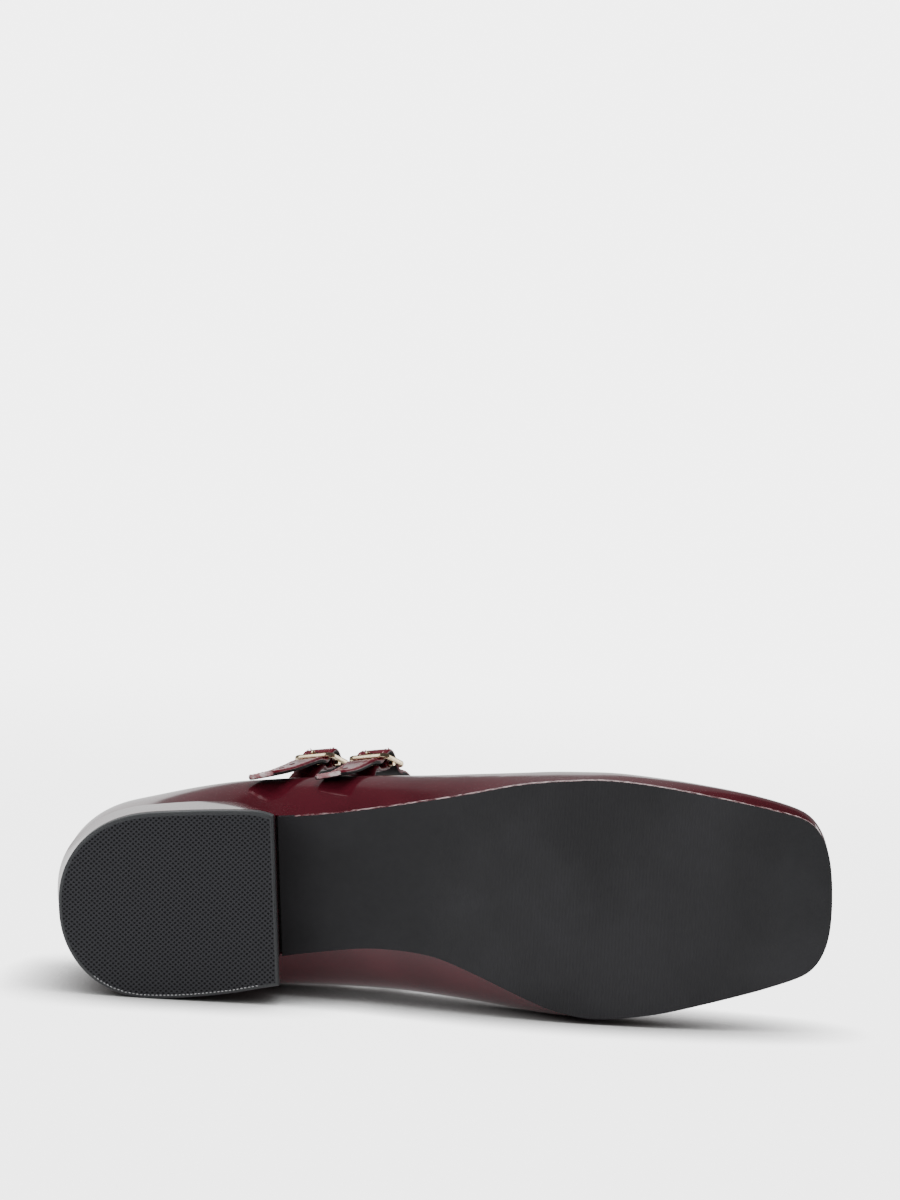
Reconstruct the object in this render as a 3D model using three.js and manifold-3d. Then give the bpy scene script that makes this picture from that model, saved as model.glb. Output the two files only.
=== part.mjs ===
// A women's right shoe with a square toe, a low covered heel and two buckled straps.
// It is modelled upright, with x towards the toe, y towards the inner side and z up,
// and then laid on its inner side, as a shoe does that is put down on its flank.
// All lengths are in millimetres.
import * as THREE from 'three';
import { mergeVertices } from 'three/addons/utils/BufferGeometryUtils.js';
import { ConvexHull } from 'three/addons/math/ConvexHull.js';
import Module from 'manifold-3d';

const wasm = await Module();
wasm.setup();

// Driving sizes of the last
const soleLength = 252.6;
const ballWidth = 78;
const seatLift = 21.5;
const toeSpring = 9.4;
const instepHeight = 62;
const quarterHeight = 51.5;
const heelLean = 3.9;
const heelBulge = 0.5;
const toeBulge = 0.5;
const toeCrownRun = 15;
const heelRound = 31;
const heelSquareness = 2.2;
const toeRound = 13;
const toeSquareness = 2.8;
const throatRound = 22;
const throatSquareness = 2.3;

// Thicknesses and clearances
const upperWall = 1.8;
const soleThickness = 3;
const insoleThickness = 2;
const fit = 0.3;
const featherInset = 0.6;
const insoleEase = 2.8;
const tabEase = 1.1;
const prongEase = 0.25;

// Heel
const breastShare = 0.287;
const breastSkew = 0.03;
const heelRake = 2.3;
const blockLip = 0.5;
const heelWidthShare = 0.75;
const topPieceThickness = 5;
const topPieceBevel = 1.1;

// Straps and buckles
const frameWidth = 15.4;
const frameLength = 14;
const frameBar = 1.5;
const frameDepth = 1.7;
const frameCorner = 2.8;
const frameEdge = 0.35;
const strapEase = 0.2;
const strapThickness = 1.9;
const strapWidth = frameWidth - 2 * frameBar - 2 * strapEase;
const tabSideEase = 1.4;
const tabThickness = 1.5;
const tabWidth = frameWidth - 2 * frameBar - 2 * tabSideEase;
const pinFit = 0.18;
const bandEdgeShare = 0.28;
const pinRadius = 0.75;
const pinDrop = 1.2;
const prongRadius = 0.6;
const prongSlot = 2.4;

// How finely the forms are divided
const rearStations = 24;
const vampStations = 15;
const lowerSteps = 3;
const upperSteps = 10;
const strapSteps = 38;
const bendWeight = 30;
const prongSteps = 24;

// The sole and the heel seat in plan: half widths as shares of the ball width
const soleRows = [
  { at: 0.000, outer: 0.340, inner: 0.346 },
  { at: 0.057, outer: 0.349, inner: 0.356 },
  { at: 0.128, outer: 0.362, inner: 0.367 },
  { at: 0.187, outer: 0.374, inner: 0.367 },
  { at: 0.227, outer: 0.374, inner: 0.349 },
  { at: 0.259, outer: 0.351, inner: 0.313 },
  { at: 0.286, outer: 0.318, inner: 0.274 },
  { at: 0.346, outer: 0.336, inner: 0.245 },
  { at: 0.409, outer: 0.368, inner: 0.221 },
  { at: 0.472, outer: 0.406, inner: 0.232 },
  { at: 0.536, outer: 0.447, inner: 0.303 },
  { at: 0.595, outer: 0.488, inner: 0.391 },
  { at: 0.643, outer: 0.505, inner: 0.454 },
  { at: 0.698, outer: 0.512, inner: 0.487 },
  { at: 0.761, outer: 0.491, inner: 0.472 },
  { at: 0.841, outer: 0.440, inner: 0.423 },
  { at: 0.920, outer: 0.379, inner: 0.364 },
  { at: 1.000, outer: 0.303, inner: 0.290 },
];

// The sole's underside from the side: lift as a share of the seat, spring of the toe
const profileRows = [
  { at: 0.000, lift: 1.030, spring: 0 },
  { at: 0.120, lift: 1.010, spring: 0 },
  { at: 0.286, lift: 1.000, spring: 0 },
  { at: 0.326, lift: 0.905, spring: 0 },
  { at: 0.385, lift: 0.720, spring: 0 },
  { at: 0.445, lift: 0.512, spring: 0 },
  { at: 0.504, lift: 0.316, spring: 0 },
  { at: 0.563, lift: 0.149, spring: 0 },
  { at: 0.623, lift: 0.040, spring: 0 },
  { at: 0.662, lift: 0, spring: 0 },
  { at: 0.756, lift: 0, spring: 0 },
  { at: 0.805, lift: 0, spring: 0.085 },
  { at: 0.861, lift: 0, spring: 0.260 },
  { at: 0.920, lift: 0, spring: 0.520 },
  { at: 0.980, lift: 0, spring: 0.860 },
  { at: 1.000, lift: 0, spring: 1 },
];

// The upper's widest line: half widths as shares of the ball width, height over the
// bed as a share of the instep
const widestRows = [
  { at: 0.000, outer: 0.346, inner: 0.354, height: 0.240 },
  { at: 0.104, outer: 0.355, inner: 0.368, height: 0.250 },
  { at: 0.167, outer: 0.397, inner: 0.415, height: 0.280 },
  { at: 0.231, outer: 0.428, inner: 0.445, height: 0.305 },
  { at: 0.278, outer: 0.436, inner: 0.451, height: 0.316 },
  { at: 0.346, outer: 0.451, inner: 0.449, height: 0.338 },
  { at: 0.409, outer: 0.463, inner: 0.449, height: 0.342 },
  { at: 0.472, outer: 0.474, inner: 0.456, height: 0.318 },
  { at: 0.536, outer: 0.492, inner: 0.473, height: 0.290 },
  { at: 0.599, outer: 0.506, inner: 0.496, height: 0.258 },
  { at: 0.658, outer: 0.517, inner: 0.512, height: 0.226 },
  { at: 0.705, outer: 0.518, inner: 0.512, height: 0.200 },
  { at: 0.785, outer: 0.494, inner: 0.480, height: 0.158 },
  { at: 0.844, outer: 0.463, inner: 0.446, height: 0.128 },
  { at: 0.908, outer: 0.418, inner: 0.401, height: 0.104 },
  { at: 1.000, outer: 0.315, inner: 0.304, height: 0.090 },
];

// The topline, and past the throat the vamp's crown: half widths as shares of the
// ball width, rise over the bed as a share of the quarter, squareness of the section
const toplineRows = [
  { at: 0.000, outer: 0.288, inner: 0.288, rise: 1.000, square: 1.9 },
  { at: 0.040, outer: 0.292, inner: 0.296, rise: 0.965, square: 1.9 },
  { at: 0.087, outer: 0.302, inner: 0.308, rise: 0.885, square: 1.9 },
  { at: 0.166, outer: 0.346, inner: 0.359, rise: 0.750, square: 1.9 },
  { at: 0.246, outer: 0.372, inner: 0.392, rise: 0.650, square: 1.9 },
  { at: 0.325, outer: 0.387, inner: 0.405, rise: 0.607, square: 1.9 },
  { at: 0.404, outer: 0.390, inner: 0.400, rise: 0.620, square: 1.9 },
  { at: 0.483, outer: 0.367, inner: 0.374, rise: 0.652, square: 1.9 },
  { at: 0.562, outer: 0.323, inner: 0.328, rise: 0.685, square: 2.0 },
  { at: 0.622, outer: 0.282, inner: 0.285, rise: 0.702, square: 2.1 },
  { at: 0.674, outer: 0.244, inner: 0.244, rise: 0.709, square: 2.15 },
  { at: 0.730, outer: 0.244, inner: 0.244, rise: 0.660, square: 2.2 },
  { at: 0.790, outer: 0.244, inner: 0.244, rise: 0.590, square: 2.25 },
  { at: 0.870, outer: 0.244, inner: 0.244, rise: 0.490, square: 2.25 },
  { at: 0.940, outer: 0.244, inner: 0.244, rise: 0.405, square: 2.2 },
  { at: 1.000, outer: 0.244, inner: 0.244, rise: 0.345, square: 2.1 },
];
const throatShare = 0.674;
const crownPullShare = 0.75;
const leanFadeShare = 0.24;

// The straps' centre lines from the free tail over the instep to the inner side:
// x as a share of the length, y of the ball width, rise over the bed of the quarter,
// and how far the strap's width turns outwards
const rearStrapRows = [
  { name: 'tail end', at: 0.2605, side: -0.468, rise: 0.200, twist: -0.23 },
  { name: 'tail', at: 0.2845, side: -0.485, rise: 0.410, twist: -0.22 },
  { name: 'below the buckle', at: 0.3080, side: -0.500, rise: 0.650, twist: -0.20 },
  { name: 'outer bar', at: 0.3250, side: -0.496, rise: 0.832, twist: -0.18 },
  { name: 'buckle', at: 0.3365, side: -0.469, rise: 0.940, twist: -0.17 },
  { name: 'inner bar', at: 0.3480, side: -0.438, rise: 1.050, twist: -0.15 },
  { name: 'shoulder', at: 0.3690, side: -0.346, rise: 1.215, twist: -0.10 },
  { name: 'over the instep', at: 0.3870, side: -0.195, rise: 1.350, twist: -0.05 },
  { name: 'crown', at: 0.3955, side: 0.000, rise: 1.395, twist: 0.00 },
  { name: 'inner slope', at: 0.3930, side: 0.180, rise: 1.310, twist: 0.05 },
  { name: 'inner shoulder', at: 0.3790, side: 0.308, rise: 1.110, twist: 0.10 },
  { name: 'inner side', at: 0.3600, side: 0.352, rise: 0.870, twist: 0.12 },
  { name: 'topline', at: 0.3440, side: 0.352, rise: 0.640, twist: 0.12 },
  { name: 'sewn end', at: 0.3310, side: 0.374, rise: 0.430, twist: 0.12 },
];
const frontStrapRows = [
  { name: 'tail end', at: 0.3492, side: -0.476, rise: 0.210, twist: -0.23 },
  { name: 'tail', at: 0.3640, side: -0.488, rise: 0.360, twist: -0.22 },
  { name: 'below the buckle', at: 0.3840, side: -0.506, rise: 0.590, twist: -0.20 },
  { name: 'outer bar', at: 0.3990, side: -0.508, rise: 0.740, twist: -0.18 },
  { name: 'buckle', at: 0.4105, side: -0.483, rise: 0.848, twist: -0.17 },
  { name: 'inner bar', at: 0.4220, side: -0.452, rise: 0.956, twist: -0.15 },
  { name: 'shoulder', at: 0.4430, side: -0.358, rise: 1.120, twist: -0.10 },
  { name: 'over the instep', at: 0.4610, side: -0.198, rise: 1.250, twist: -0.05 },
  { name: 'crown', at: 0.4700, side: 0.000, rise: 1.290, twist: 0.00 },
  { name: 'inner slope', at: 0.4680, side: 0.180, rise: 1.210, twist: 0.05 },
  { name: 'inner shoulder', at: 0.4550, side: 0.304, rise: 1.020, twist: 0.10 },
  { name: 'inner side', at: 0.4370, side: 0.346, rise: 0.820, twist: 0.12 },
  { name: 'topline', at: 0.4220, side: 0.348, rise: 0.640, twist: 0.12 },
  { name: 'sewn end', at: 0.4090, side: 0.374, rise: 0.430, twist: 0.12 },
];
const ridgeSlope = THREE.MathUtils.degToRad(-31);
const tabLap = 7;
const tabSteps = 16;
const tabDipShare = 0.6;
const tabRimRise = 1.6;

// A table's column as a smooth curve that never swings past its rows
function column(rows, name) {
  const steps = rows.slice(1).map((row, k) => (row[name] - rows[k][name]) / (row.at - rows[k].at));
  const slopes = rows.map((row, k) => {
    if (k === 0) return steps[0];
    if (k === rows.length - 1) return steps[k - 1];
    if (steps[k - 1] * steps[k] <= 0) return 0;
    return 2 * steps[k - 1] * steps[k] / (steps[k - 1] + steps[k]);
  });
  return (at) => {
    const last = rows.length - 2;
    let k = 0;
    while (k < last && at > rows[k + 1].at) k += 1;
    const span = rows[k + 1].at - rows[k].at;
    const t = THREE.MathUtils.clamp((at - rows[k].at) / span, 0, 1);
    const keep = (1 + 2 * t) * (1 - t) ** 2;
    const rise = t * t * (3 - 2 * t);
    const leave = t * (1 - t) ** 2 * span * slopes[k];
    const reach = t * t * (t - 1) * span * slopes[k + 1];
    return keep * rows[k][name] + rise * rows[k + 1][name] + leave + reach;
  };
}

const soleHalf = { outer: column(soleRows, 'outer'), inner: column(soleRows, 'inner') };
const profile = { lift: column(profileRows, 'lift'), spring: column(profileRows, 'spring') };
const widest = {
  outer: column(widestRows, 'outer'),
  inner: column(widestRows, 'inner'),
  height: column(widestRows, 'height'),
};
const topline = {
  outer: column(toplineRows, 'outer'),
  inner: column(toplineRows, 'inner'),
  rise: column(toplineRows, 'rise'),
  square: column(toplineRows, 'square'),
};

// The outer side of this right shoe lies at negative y
const sides = [{ name: 'outer', sign: -1 }, { name: 'inner', sign: 1 }];

// How an outline closes over a rounded end, at a distance from that end
function roundedEnd(distance, radius, squareness) {
  if (distance >= radius) return 1;
  const left = 1 - Math.max(distance, 0) / radius;
  return (1 - left ** squareness) ** (1 / squareness);
}

function endRound(x) {
  return roundedEnd(x, heelRound, heelSquareness)
    * roundedEnd(soleLength - x, toeRound, toeSquareness);
}

// Height of the sole's underside, and of the bed that the upper stands on
function groundLine(x) {
  const at = x / soleLength;
  return seatLift * profile.lift(at) + toeSpring * profile.spring(at);
}

function bed(x) {
  return groundLine(x) + soleThickness;
}

// A point of the sole's outline in plan, moved inwards by an inset
function solePoint(side, x, inset = 0) {
  const half = ballWidth * soleHalf[side.name](x / soleLength) * endRound(x);
  const middle = soleLength / 2;
  return {
    x: middle + (x - middle) * (1 - inset / middle),
    y: side.sign * half * (1 - 2 * inset / ballWidth),
  };
}

function widestPoint(side, x) {
  const at = x / soleLength;
  return new THREE.Vector3(
    x + toeBulge * at ** 6 - heelBulge * (1 - at) ** 6,
    side.sign * ballWidth * widest[side.name](at) * endRound(x),
    bed(x) + instepHeight * widest.height(at),
  );
}

function toplinePoint(side, x) {
  const at = x / soleLength;
  const throatX = throatShare * soleLength;
  const lean = heelLean * Math.max(0, 1 - at / leanFadeShare) ** 2;
  const pull = toeCrownRun * Math.max(0, (at - crownPullShare) / (1 - crownPullShare)) ** 2;
  const open = x < throatX ? roundedEnd(throatX - x, throatRound, throatSquareness) : 0;
  const top = x + lean - pull;
  return new THREE.Vector3(
    top,
    side.sign * ballWidth * topline[side.name](at) * endRound(x) * open,
    bed(top) + quarterHeight * topline.rise(at),
  );
}

// Height gained on the way round a quarter of a squared circle
function quarterRise(share, squareness) {
  return (1 - (1 - share) ** squareness) ** (1 / squareness);
}

// One rib of the upper, from its lower edge over the widest line to the topline
function rib(side, x) {
  const low = solePoint(side, x, featherInset);
  const foot = new THREE.Vector3(low.x, low.y, bed(x) + fit);
  const flank = widestPoint(side, x);
  const top = toplinePoint(side, x);
  const points = [];
  for (let k = 0; k < lowerSteps; k += 1) {
    const share = k / lowerSteps;
    const out = Math.sin(share * Math.PI / 2);
    points.push(new THREE.Vector3(
      foot.x + (flank.x - foot.x) * out,
      foot.y + (flank.y - foot.y) * out,
      foot.z + (flank.z - foot.z) * share,
    ));
  }
  const at = x / soleLength;
  const open = x < throatShare * soleLength
    ? roundedEnd(throatShare * soleLength - x, throatRound, throatSquareness) : 0;
  const turn = 1 - open * topline[side.name](at) / widest[side.name](at);
  const square = topline.square(at);
  for (let k = 0; k <= upperSteps; k += 1) {
    const travel = (k / upperSteps) ** 2;
    const gain = quarterRise(travel * turn, square) / quarterRise(turn, square);
    points.push(new THREE.Vector3(
      flank.x + (top.x - flank.x) * travel,
      flank.y + (top.y - flank.y) * travel,
      flank.z + (top.z - flank.z) * gain,
    ));
  }
  return points;
}

// Stations along the shoe, crowded where the outline or the throat bends
function stations(from, to, count) {
  const samples = 800;
  const xs = [];
  for (let k = 0; k <= samples; k += 1) {
    xs.push(from + (to - from) * (1 - Math.cos(Math.PI * k / samples)) / 2);
  }
  const weights = [0];
  for (const trace of [(x) => solePoint(sides[0], x), (x) => toplinePoint(sides[0], x)]) {
    let heading = null;
    for (let k = 1; k <= samples; k += 1) {
      const a = trace(xs[k - 1]);
      const b = trace(xs[k]);
      const next = Math.atan2(b.y - a.y, b.x - a.x);
      const bend = heading === null ? 0 : Math.abs(next - heading);
      weights[k] = (weights[k] ?? 0) + Math.hypot(b.x - a.x, b.y - a.y) + bendWeight * bend;
      heading = next;
    }
  }
  const sums = [];
  weights.reduce((sum, weight, k) => { sums[k] = sum + weight; return sums[k]; }, 0);
  const picked = [from];
  let k = 0;
  for (let step = 1; step < count; step += 1) {
    const goal = sums[samples] * step / count;
    while (sums[k] < goal) k += 1;
    picked.push(xs[k]);
  }
  picked.push(to);
  return picked;
}

// A closed body from shared vertices and triangles, turned so that it faces outwards
function closedBody(vertices, triangles) {
  let volume = 0;
  for (const [a, b, c] of triangles) {
    volume += vertices[a].dot(vertices[b].clone().cross(vertices[c])) / 6;
  }
  const faces = volume < 0 ? triangles.map(([a, b, c]) => [a, c, b]) : triangles;
  const geometry = new THREE.BufferGeometry();
  geometry.setAttribute('position', new THREE.Float32BufferAttribute(
    vertices.flatMap((v) => [v.x, v.y, v.z]), 3));
  geometry.setIndex(faces.flat());
  geometry.computeVertexNormals();
  return geometry;
}

function quad(triangles, a, b, c, d) {
  if (new Set([a, b, c]).size === 3) triangles.push([a, b, c]);
  if (new Set([a, c, d]).size === 3) triangles.push([a, c, d]);
}

// Layers of paired outline points, one above the other, joined and capped
function stackedBody(layers) {
  const vertices = [];
  const rows = layers.map((layer) => layer.map(([a, b]) => {
    vertices.push(a);
    const first = vertices.length - 1;
    if (a.distanceTo(b) < 1e-6) return [first, first];
    vertices.push(b);
    return [first, vertices.length - 1];
  }));
  const triangles = [];
  const last = rows[0].length - 1;
  for (let n = 0; n < rows.length - 1; n += 1) {
    const low = rows[n];
    const high = rows[n + 1];
    for (let k = 0; k < last; k += 1) {
      quad(triangles, low[k][0], low[k + 1][0], high[k + 1][0], high[k][0]);
      quad(triangles, high[k][1], high[k + 1][1], low[k + 1][1], low[k][1]);
    }
    quad(triangles, low[0][1], low[0][0], high[0][0], high[0][1]);
    quad(triangles, low[last][0], low[last][1], high[last][1], high[last][0]);
  }
  const bottom = rows[0];
  const top = rows[rows.length - 1];
  for (let k = 0; k < last; k += 1) {
    quad(triangles, bottom[k][1], bottom[k + 1][1], bottom[k + 1][0], bottom[k][0]);
    quad(triangles, top[k][0], top[k + 1][0], top[k + 1][1], top[k][1]);
  }
  return closedBody(vertices, triangles);
}

// The hollow upper: an outer skin, an inner skin one wall inside it, and two rims
function upperBody() {
  const throatX = throatShare * soleLength;
  const xs = [
    ...stations(0, throatX, rearStations),
    ...stations(throatX, soleLength, vampStations).slice(1),
  ];
  const lastStation = xs.length - 1;
  const lastStep = lowerSteps + upperSteps;
  const vertices = [];
  const grid = sides.map(() => xs.map(() => []));
  sides.forEach((side, s) => {
    xs.forEach((x, i) => {
      rib(side, x).forEach((point, j) => {
        const onSeam = i === 0 || i === lastStation || (j === lastStep && i >= rearStations);
        if (onSeam && s === 1) {
          grid[1][i][j] = grid[0][i][j];
          return;
        }
        if (onSeam) point.y = 0;
        vertices.push(point);
        grid[s][i][j] = vertices.length - 1;
      });
    });
  });
  const skin = [];
  sides.forEach((side, s) => {
    for (let i = 0; i < lastStation; i += 1) {
      for (let j = 0; j < lastStep; j += 1) {
        const corners = [grid[s][i][j], grid[s][i + 1][j], grid[s][i + 1][j + 1], grid[s][i][j + 1]];
        quad(skin, ...(side.sign < 0 ? corners : corners.reverse()));
      }
    }
  });
  const outside = closedBody(vertices, skin);
  const normals = outside.getAttribute('normal');
  const count = vertices.length;
  for (let k = 0; k < count; k += 1) {
    const normal = new THREE.Vector3().fromBufferAttribute(normals, k);
    vertices.push(vertices[k].clone().addScaledVector(normal, -upperWall));
  }
  const triangles = [...skin, ...skin.map(([a, b, c]) => [a + count, c + count, b + count])];
  sides.forEach((side, s) => {
    const rim = (a, b) => {
      const corners = [a, b, b + count, a + count];
      quad(triangles, ...(side.sign < 0 ? corners : corners.reverse()));
    };
    for (let i = 0; i < lastStation; i += 1) {
      rim(grid[s][i + 1][0], grid[s][i][0]);
      if (i < rearStations) rim(grid[s][i][lastStep], grid[s][i + 1][lastStep]);
    }
  });
  return closedBody(vertices, triangles);
}

// A flat piece that follows the sole's outline between two heights
function soleSlab(xs, inset, low, high) {
  return stackedBody([low, high].map((height) => xs.map((x) => sides.map((side) => {
    const point = solePoint(side, x, inset);
    return new THREE.Vector3(point.x, point.y, height(x));
  }))));
}

const breastX = breastShare * soleLength;

function outsoleBody() {
  const xs = stations(breastX, soleLength, 38);
  const skewEnd = xs[4];
  return stackedBody([groundLine, bed].map((height) => xs.map((x) => sides.map((side) => {
    const point = solePoint(side, x);
    const fade = Math.max(0, (skewEnd - x) / (skewEnd - breastX));
    const moved = point.x + fade * (fit + point.y * breastSkew);
    return new THREE.Vector3(moved, point.y, height(moved));
  }))));
}

function insoleBody() {
  const xs = stations(0, soleLength, 42);
  const inset = featherInset + upperWall + insoleEase;
  return soleSlab(xs, inset, (x) => bed(x) + fit, (x) => bed(x) + fit + insoleThickness);
}

// Outline of the heel at the ground and at the seat
function heelPairs(height, share, inset) {
  const xs = stations(0, breastX, 20);
  return xs.map((x) => sides.map((side) => {
    const along = x / breastX;
    const seat = solePoint(side, x, -blockLip);
    const rake = heelRake * (1 - along);
    const base = ballWidth * topPieceHalf[side.name](along) * roundedEnd(x, heelRound, heelSquareness);
    const y = (1 - share) * side.sign * base + share * seat.y;
    const backInset = inset * (1 - along);
    const frontInset = inset * along;
    const plan = (1 - share) * (x + rake) + share * seat.x + backInset - frontInset;
    const pulled = y * (1 - 2 * inset / (ballWidth * heelWidthShare));
    const front = along ** 8 * pulled * breastSkew;
    const place = plan + front;
    return new THREE.Vector3(place, pulled, height(place));
  }));
}

// The ground outline of the heel: half widths as shares of the ball width
const topPieceRows = [
  { at: 0.000, outer: 0.355, inner: 0.385 },
  { at: 0.300, outer: 0.368, inner: 0.398 },
  { at: 0.500, outer: 0.377, inner: 0.399 },
  { at: 0.750, outer: 0.383, inner: 0.383 },
  { at: 0.920, outer: 0.382, inner: 0.358 },
  { at: 1.000, outer: 0.362, inner: 0.346 },
];
const topPieceHalf = { outer: column(topPieceRows, 'outer'), inner: column(topPieceRows, 'inner') };

function topPieceBody() {
  const arc = [0, 0.3, 0.65, 1];
  const layers = arc.map((share) => {
    const angle = share * Math.PI / 2;
    const inset = topPieceBevel * (1 - Math.sin(angle));
    const height = topPieceBevel * (1 - Math.cos(angle));
    return heelPairs(() => height, 0, inset);
  });
  layers.push(heelPairs(() => topPieceThickness, 0, 0));
  return stackedBody(layers);
}

function heelBlockBody() {
  const low = topPieceThickness + fit;
  const layers = [0, 0.25, 0.5, 0.75, 1].map((share) => heelPairs(
    (x) => low + (bed(x) - low) * share, share ** 1.5, 0));
  return stackedBody(layers);
}

// A strap's route as stations with a place, a direction, a width and an outward side
function strapRoute(rows) {
  const places = rows.map((row) => {
    const x = row.at * soleLength;
    return new THREE.Vector3(x, row.side * ballWidth, bed(x) + quarterHeight * row.rise);
  });
  const curve = new THREE.CatmullRomCurve3(places, false, 'centripetal');
  const twists = rows.map((row) => row.twist);
  const frame = (t) => {
    const place = curve.getPoint(t);
    const along = curve.getTangent(t);
    const row = t * (rows.length - 1);
    const k = Math.min(Math.floor(row), rows.length - 2);
    const twist = twists[k] + (twists[k + 1] - twists[k]) * (row - k);
    const across = new THREE.Vector3(Math.cos(ridgeSlope), twist, Math.sin(ridgeSlope));
    across.addScaledVector(along, -across.dot(along)).normalize();
    const out = across.clone().cross(along).normalize();
    return { place, along, across, out };
  };
  return { frame, curve, buckleAt: rows.findIndex((row) => row.name === 'buckle') / (rows.length - 1) };
}

// A band of rounded rectangular section swept through stations
function bandBody(places, width, thickness) {
  const edge = thickness * bandEdgeShare;
  const w = width / 2;
  const h = thickness / 2;
  const section = [
    [-w + edge, -h], [w - edge, -h], [w, -h + edge], [w, h - edge],
    [w - edge, h], [-w + edge, h], [-w, h - edge], [-w, -h + edge],
  ];
  const vertices = [];
  for (const { place, across, out } of places) {
    for (const [a, b] of section) {
      vertices.push(place.clone().addScaledVector(across, a).addScaledVector(out, b));
    }
  }
  const triangles = [];
  const n = section.length;
  for (let k = 0; k < places.length - 1; k += 1) {
    for (let m = 0; m < n; m += 1) {
      const next = (m + 1) % n;
      quad(triangles, k * n + m, k * n + next, (k + 1) * n + next, (k + 1) * n + m);
    }
  }
  const last = (places.length - 1) * n;
  for (const [first, turn] of [[0, true], [last, false]]) {
    const pairs = [[0, 1, 2, 7], [7, 2, 3, 6], [6, 3, 4, 5]];
    for (const pair of pairs) {
      const corners = pair.map((m) => first + m);
      quad(triangles, ...(turn ? corners.reverse() : corners));
    }
  }
  return closedBody(vertices, triangles);
}

// Joins and cuts of closed bodies
function solid(geometry) {
  const bare = geometry.clone();
  bare.deleteAttribute('normal');
  bare.deleteAttribute('uv');
  const merged = mergeVertices(bare, 1e-4);
  return new wasm.Manifold(new wasm.Mesh({
    numProp: 3,
    vertProperties: new Float32Array(merged.getAttribute('position').array),
    triVerts: new Uint32Array(merged.getIndex().array),
  }));
}

function surface(body) {
  const mesh = body.getMesh();
  const geometry = new THREE.BufferGeometry();
  geometry.setAttribute('position', new THREE.BufferAttribute(new Float32Array(mesh.vertProperties), 3));
  geometry.setIndex(new THREE.BufferAttribute(new Uint32Array(mesh.triVerts), 1));
  geometry.computeVertexNormals();
  return geometry;
}

// How a band rises over the pin and dips under the frame's two bars, by the distance
// from the pin along the strap
const pinTop = -pinDrop + pinRadius + fit + tabThickness / 2 + fit + strapThickness / 2;
const barUnder = -frameDepth / 2 - fit - strapThickness / 2;
const barReach = frameLength / 2;
const humpReach = barReach - frameBar - fit;
const buckleReach = 14;

function strapLift(distance) {
  const d = Math.abs(distance);
  if (d >= humpReach) return barUnder * flatness(distance);
  const wave = (1 - (d / humpReach) ** 2) ** 1.3;
  return barUnder + (pinTop - barUnder) * wave;
}

// How flat the strap lies at a distance from the pin: 1 within the buckle, 0 beyond reach
function flatness(distance) {
  const d = Math.abs(distance);
  const fade = THREE.MathUtils.clamp((buckleReach - d) / (buckleReach - barReach), 0, 1);
  return fade * fade * (3 - 2 * fade);
}

function locate(frame, along, out, across = 0) {
  return frame.place.clone()
    .addScaledVector(frame.along, along)
    .addScaledVector(frame.out, out)
    .addScaledVector(frame.across, across);
}

// Turns a shape drawn with x along the strap, y across it and z outwards
function placed(geometry, frame) {
  const basis = new THREE.Matrix4().makeBasis(frame.along, frame.across.clone().negate(), frame.out);
  basis.setPosition(frame.place);
  return geometry.applyMatrix4(basis);
}

function roundedRectangle(target, length, width, radius) {
  const a = length / 2;
  const b = width / 2;
  target.moveTo(-a + radius, -b);
  target.lineTo(a - radius, -b);
  target.absarc(a - radius, -b + radius, radius, -Math.PI / 2, 0, false);
  target.lineTo(a, b - radius);
  target.absarc(a - radius, b - radius, radius, 0, Math.PI / 2, false);
  target.lineTo(-a + radius, b);
  target.absarc(-a + radius, b - radius, radius, Math.PI / 2, Math.PI, false);
  target.lineTo(-a, -b + radius);
  target.absarc(-a + radius, -b + radius, radius, Math.PI, 1.5 * Math.PI, false);
  return target;
}

function buckleFrameBody(frame) {
  const edge = frameEdge;
  const outline = roundedRectangle(
    new THREE.Shape(), frameLength - 2 * edge, frameWidth - 2 * edge, frameCorner - edge);
  outline.holes.push(roundedRectangle(
    new THREE.Path(), frameLength - 2 * frameBar + 2 * edge, frameWidth - 2 * frameBar + 2 * edge,
    frameCorner - frameBar + edge));
  const ring = new THREE.ExtrudeGeometry(outline, {
    depth: frameDepth - 2 * edge, curveSegments: 4, steps: 1,
    bevelEnabled: true, bevelThickness: edge, bevelSize: edge, bevelSegments: 2,
  });
  ring.translate(0, 0, -frameDepth / 2 + edge);
  const pin = new THREE.CylinderGeometry(pinRadius, pinRadius, frameWidth - frameBar, 12);
  pin.translate(0, 0, -pinDrop);
  return placed(surface(solid(ring).add(solid(pin))), frame);
}

// A round rod along a curve, with flat ends
function rodBody(curve, radius, steps) {
  const circle = new THREE.Shape();
  circle.absarc(0, 0, radius, 0, 2 * Math.PI, false);
  return new THREE.ExtrudeGeometry(circle, {
    steps, curveSegments: 4, bevelEnabled: false, extrudePath: curve,
  });
}

const prongRing = pinRadius + prongEase + prongRadius;

// The prong: an open eye round the pin, then a straight point that rests on the bar
function prongCurve() {
  const points = [];
  for (let angle = -190; angle <= 80; angle += 30) {
    const turn = THREE.MathUtils.degToRad(angle);
    points.push(new THREE.Vector3(
      prongRing * Math.cos(turn), 0, -pinDrop + prongRing * Math.sin(turn)));
  }
  const rest = frameDepth / 2 + fit + prongRadius;
  const eyeTop = -pinDrop + prongRing;
  points.push(new THREE.Vector3(-barReach * 0.35, 0, eyeTop + (rest - eyeTop) * 0.3));
  points.push(new THREE.Vector3(-barReach * 0.7, 0, eyeTop + (rest - eyeTop) * 0.75));
  points.push(new THREE.Vector3(-barReach - 0.4, 0, rest));
  return new THREE.CatmullRomCurve3(points, false, 'centripetal');
}

function prongBody(frame) {
  return placed(surface(solid(rodBody(prongCurve(), prongRadius, prongSteps))), frame);
}

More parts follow.
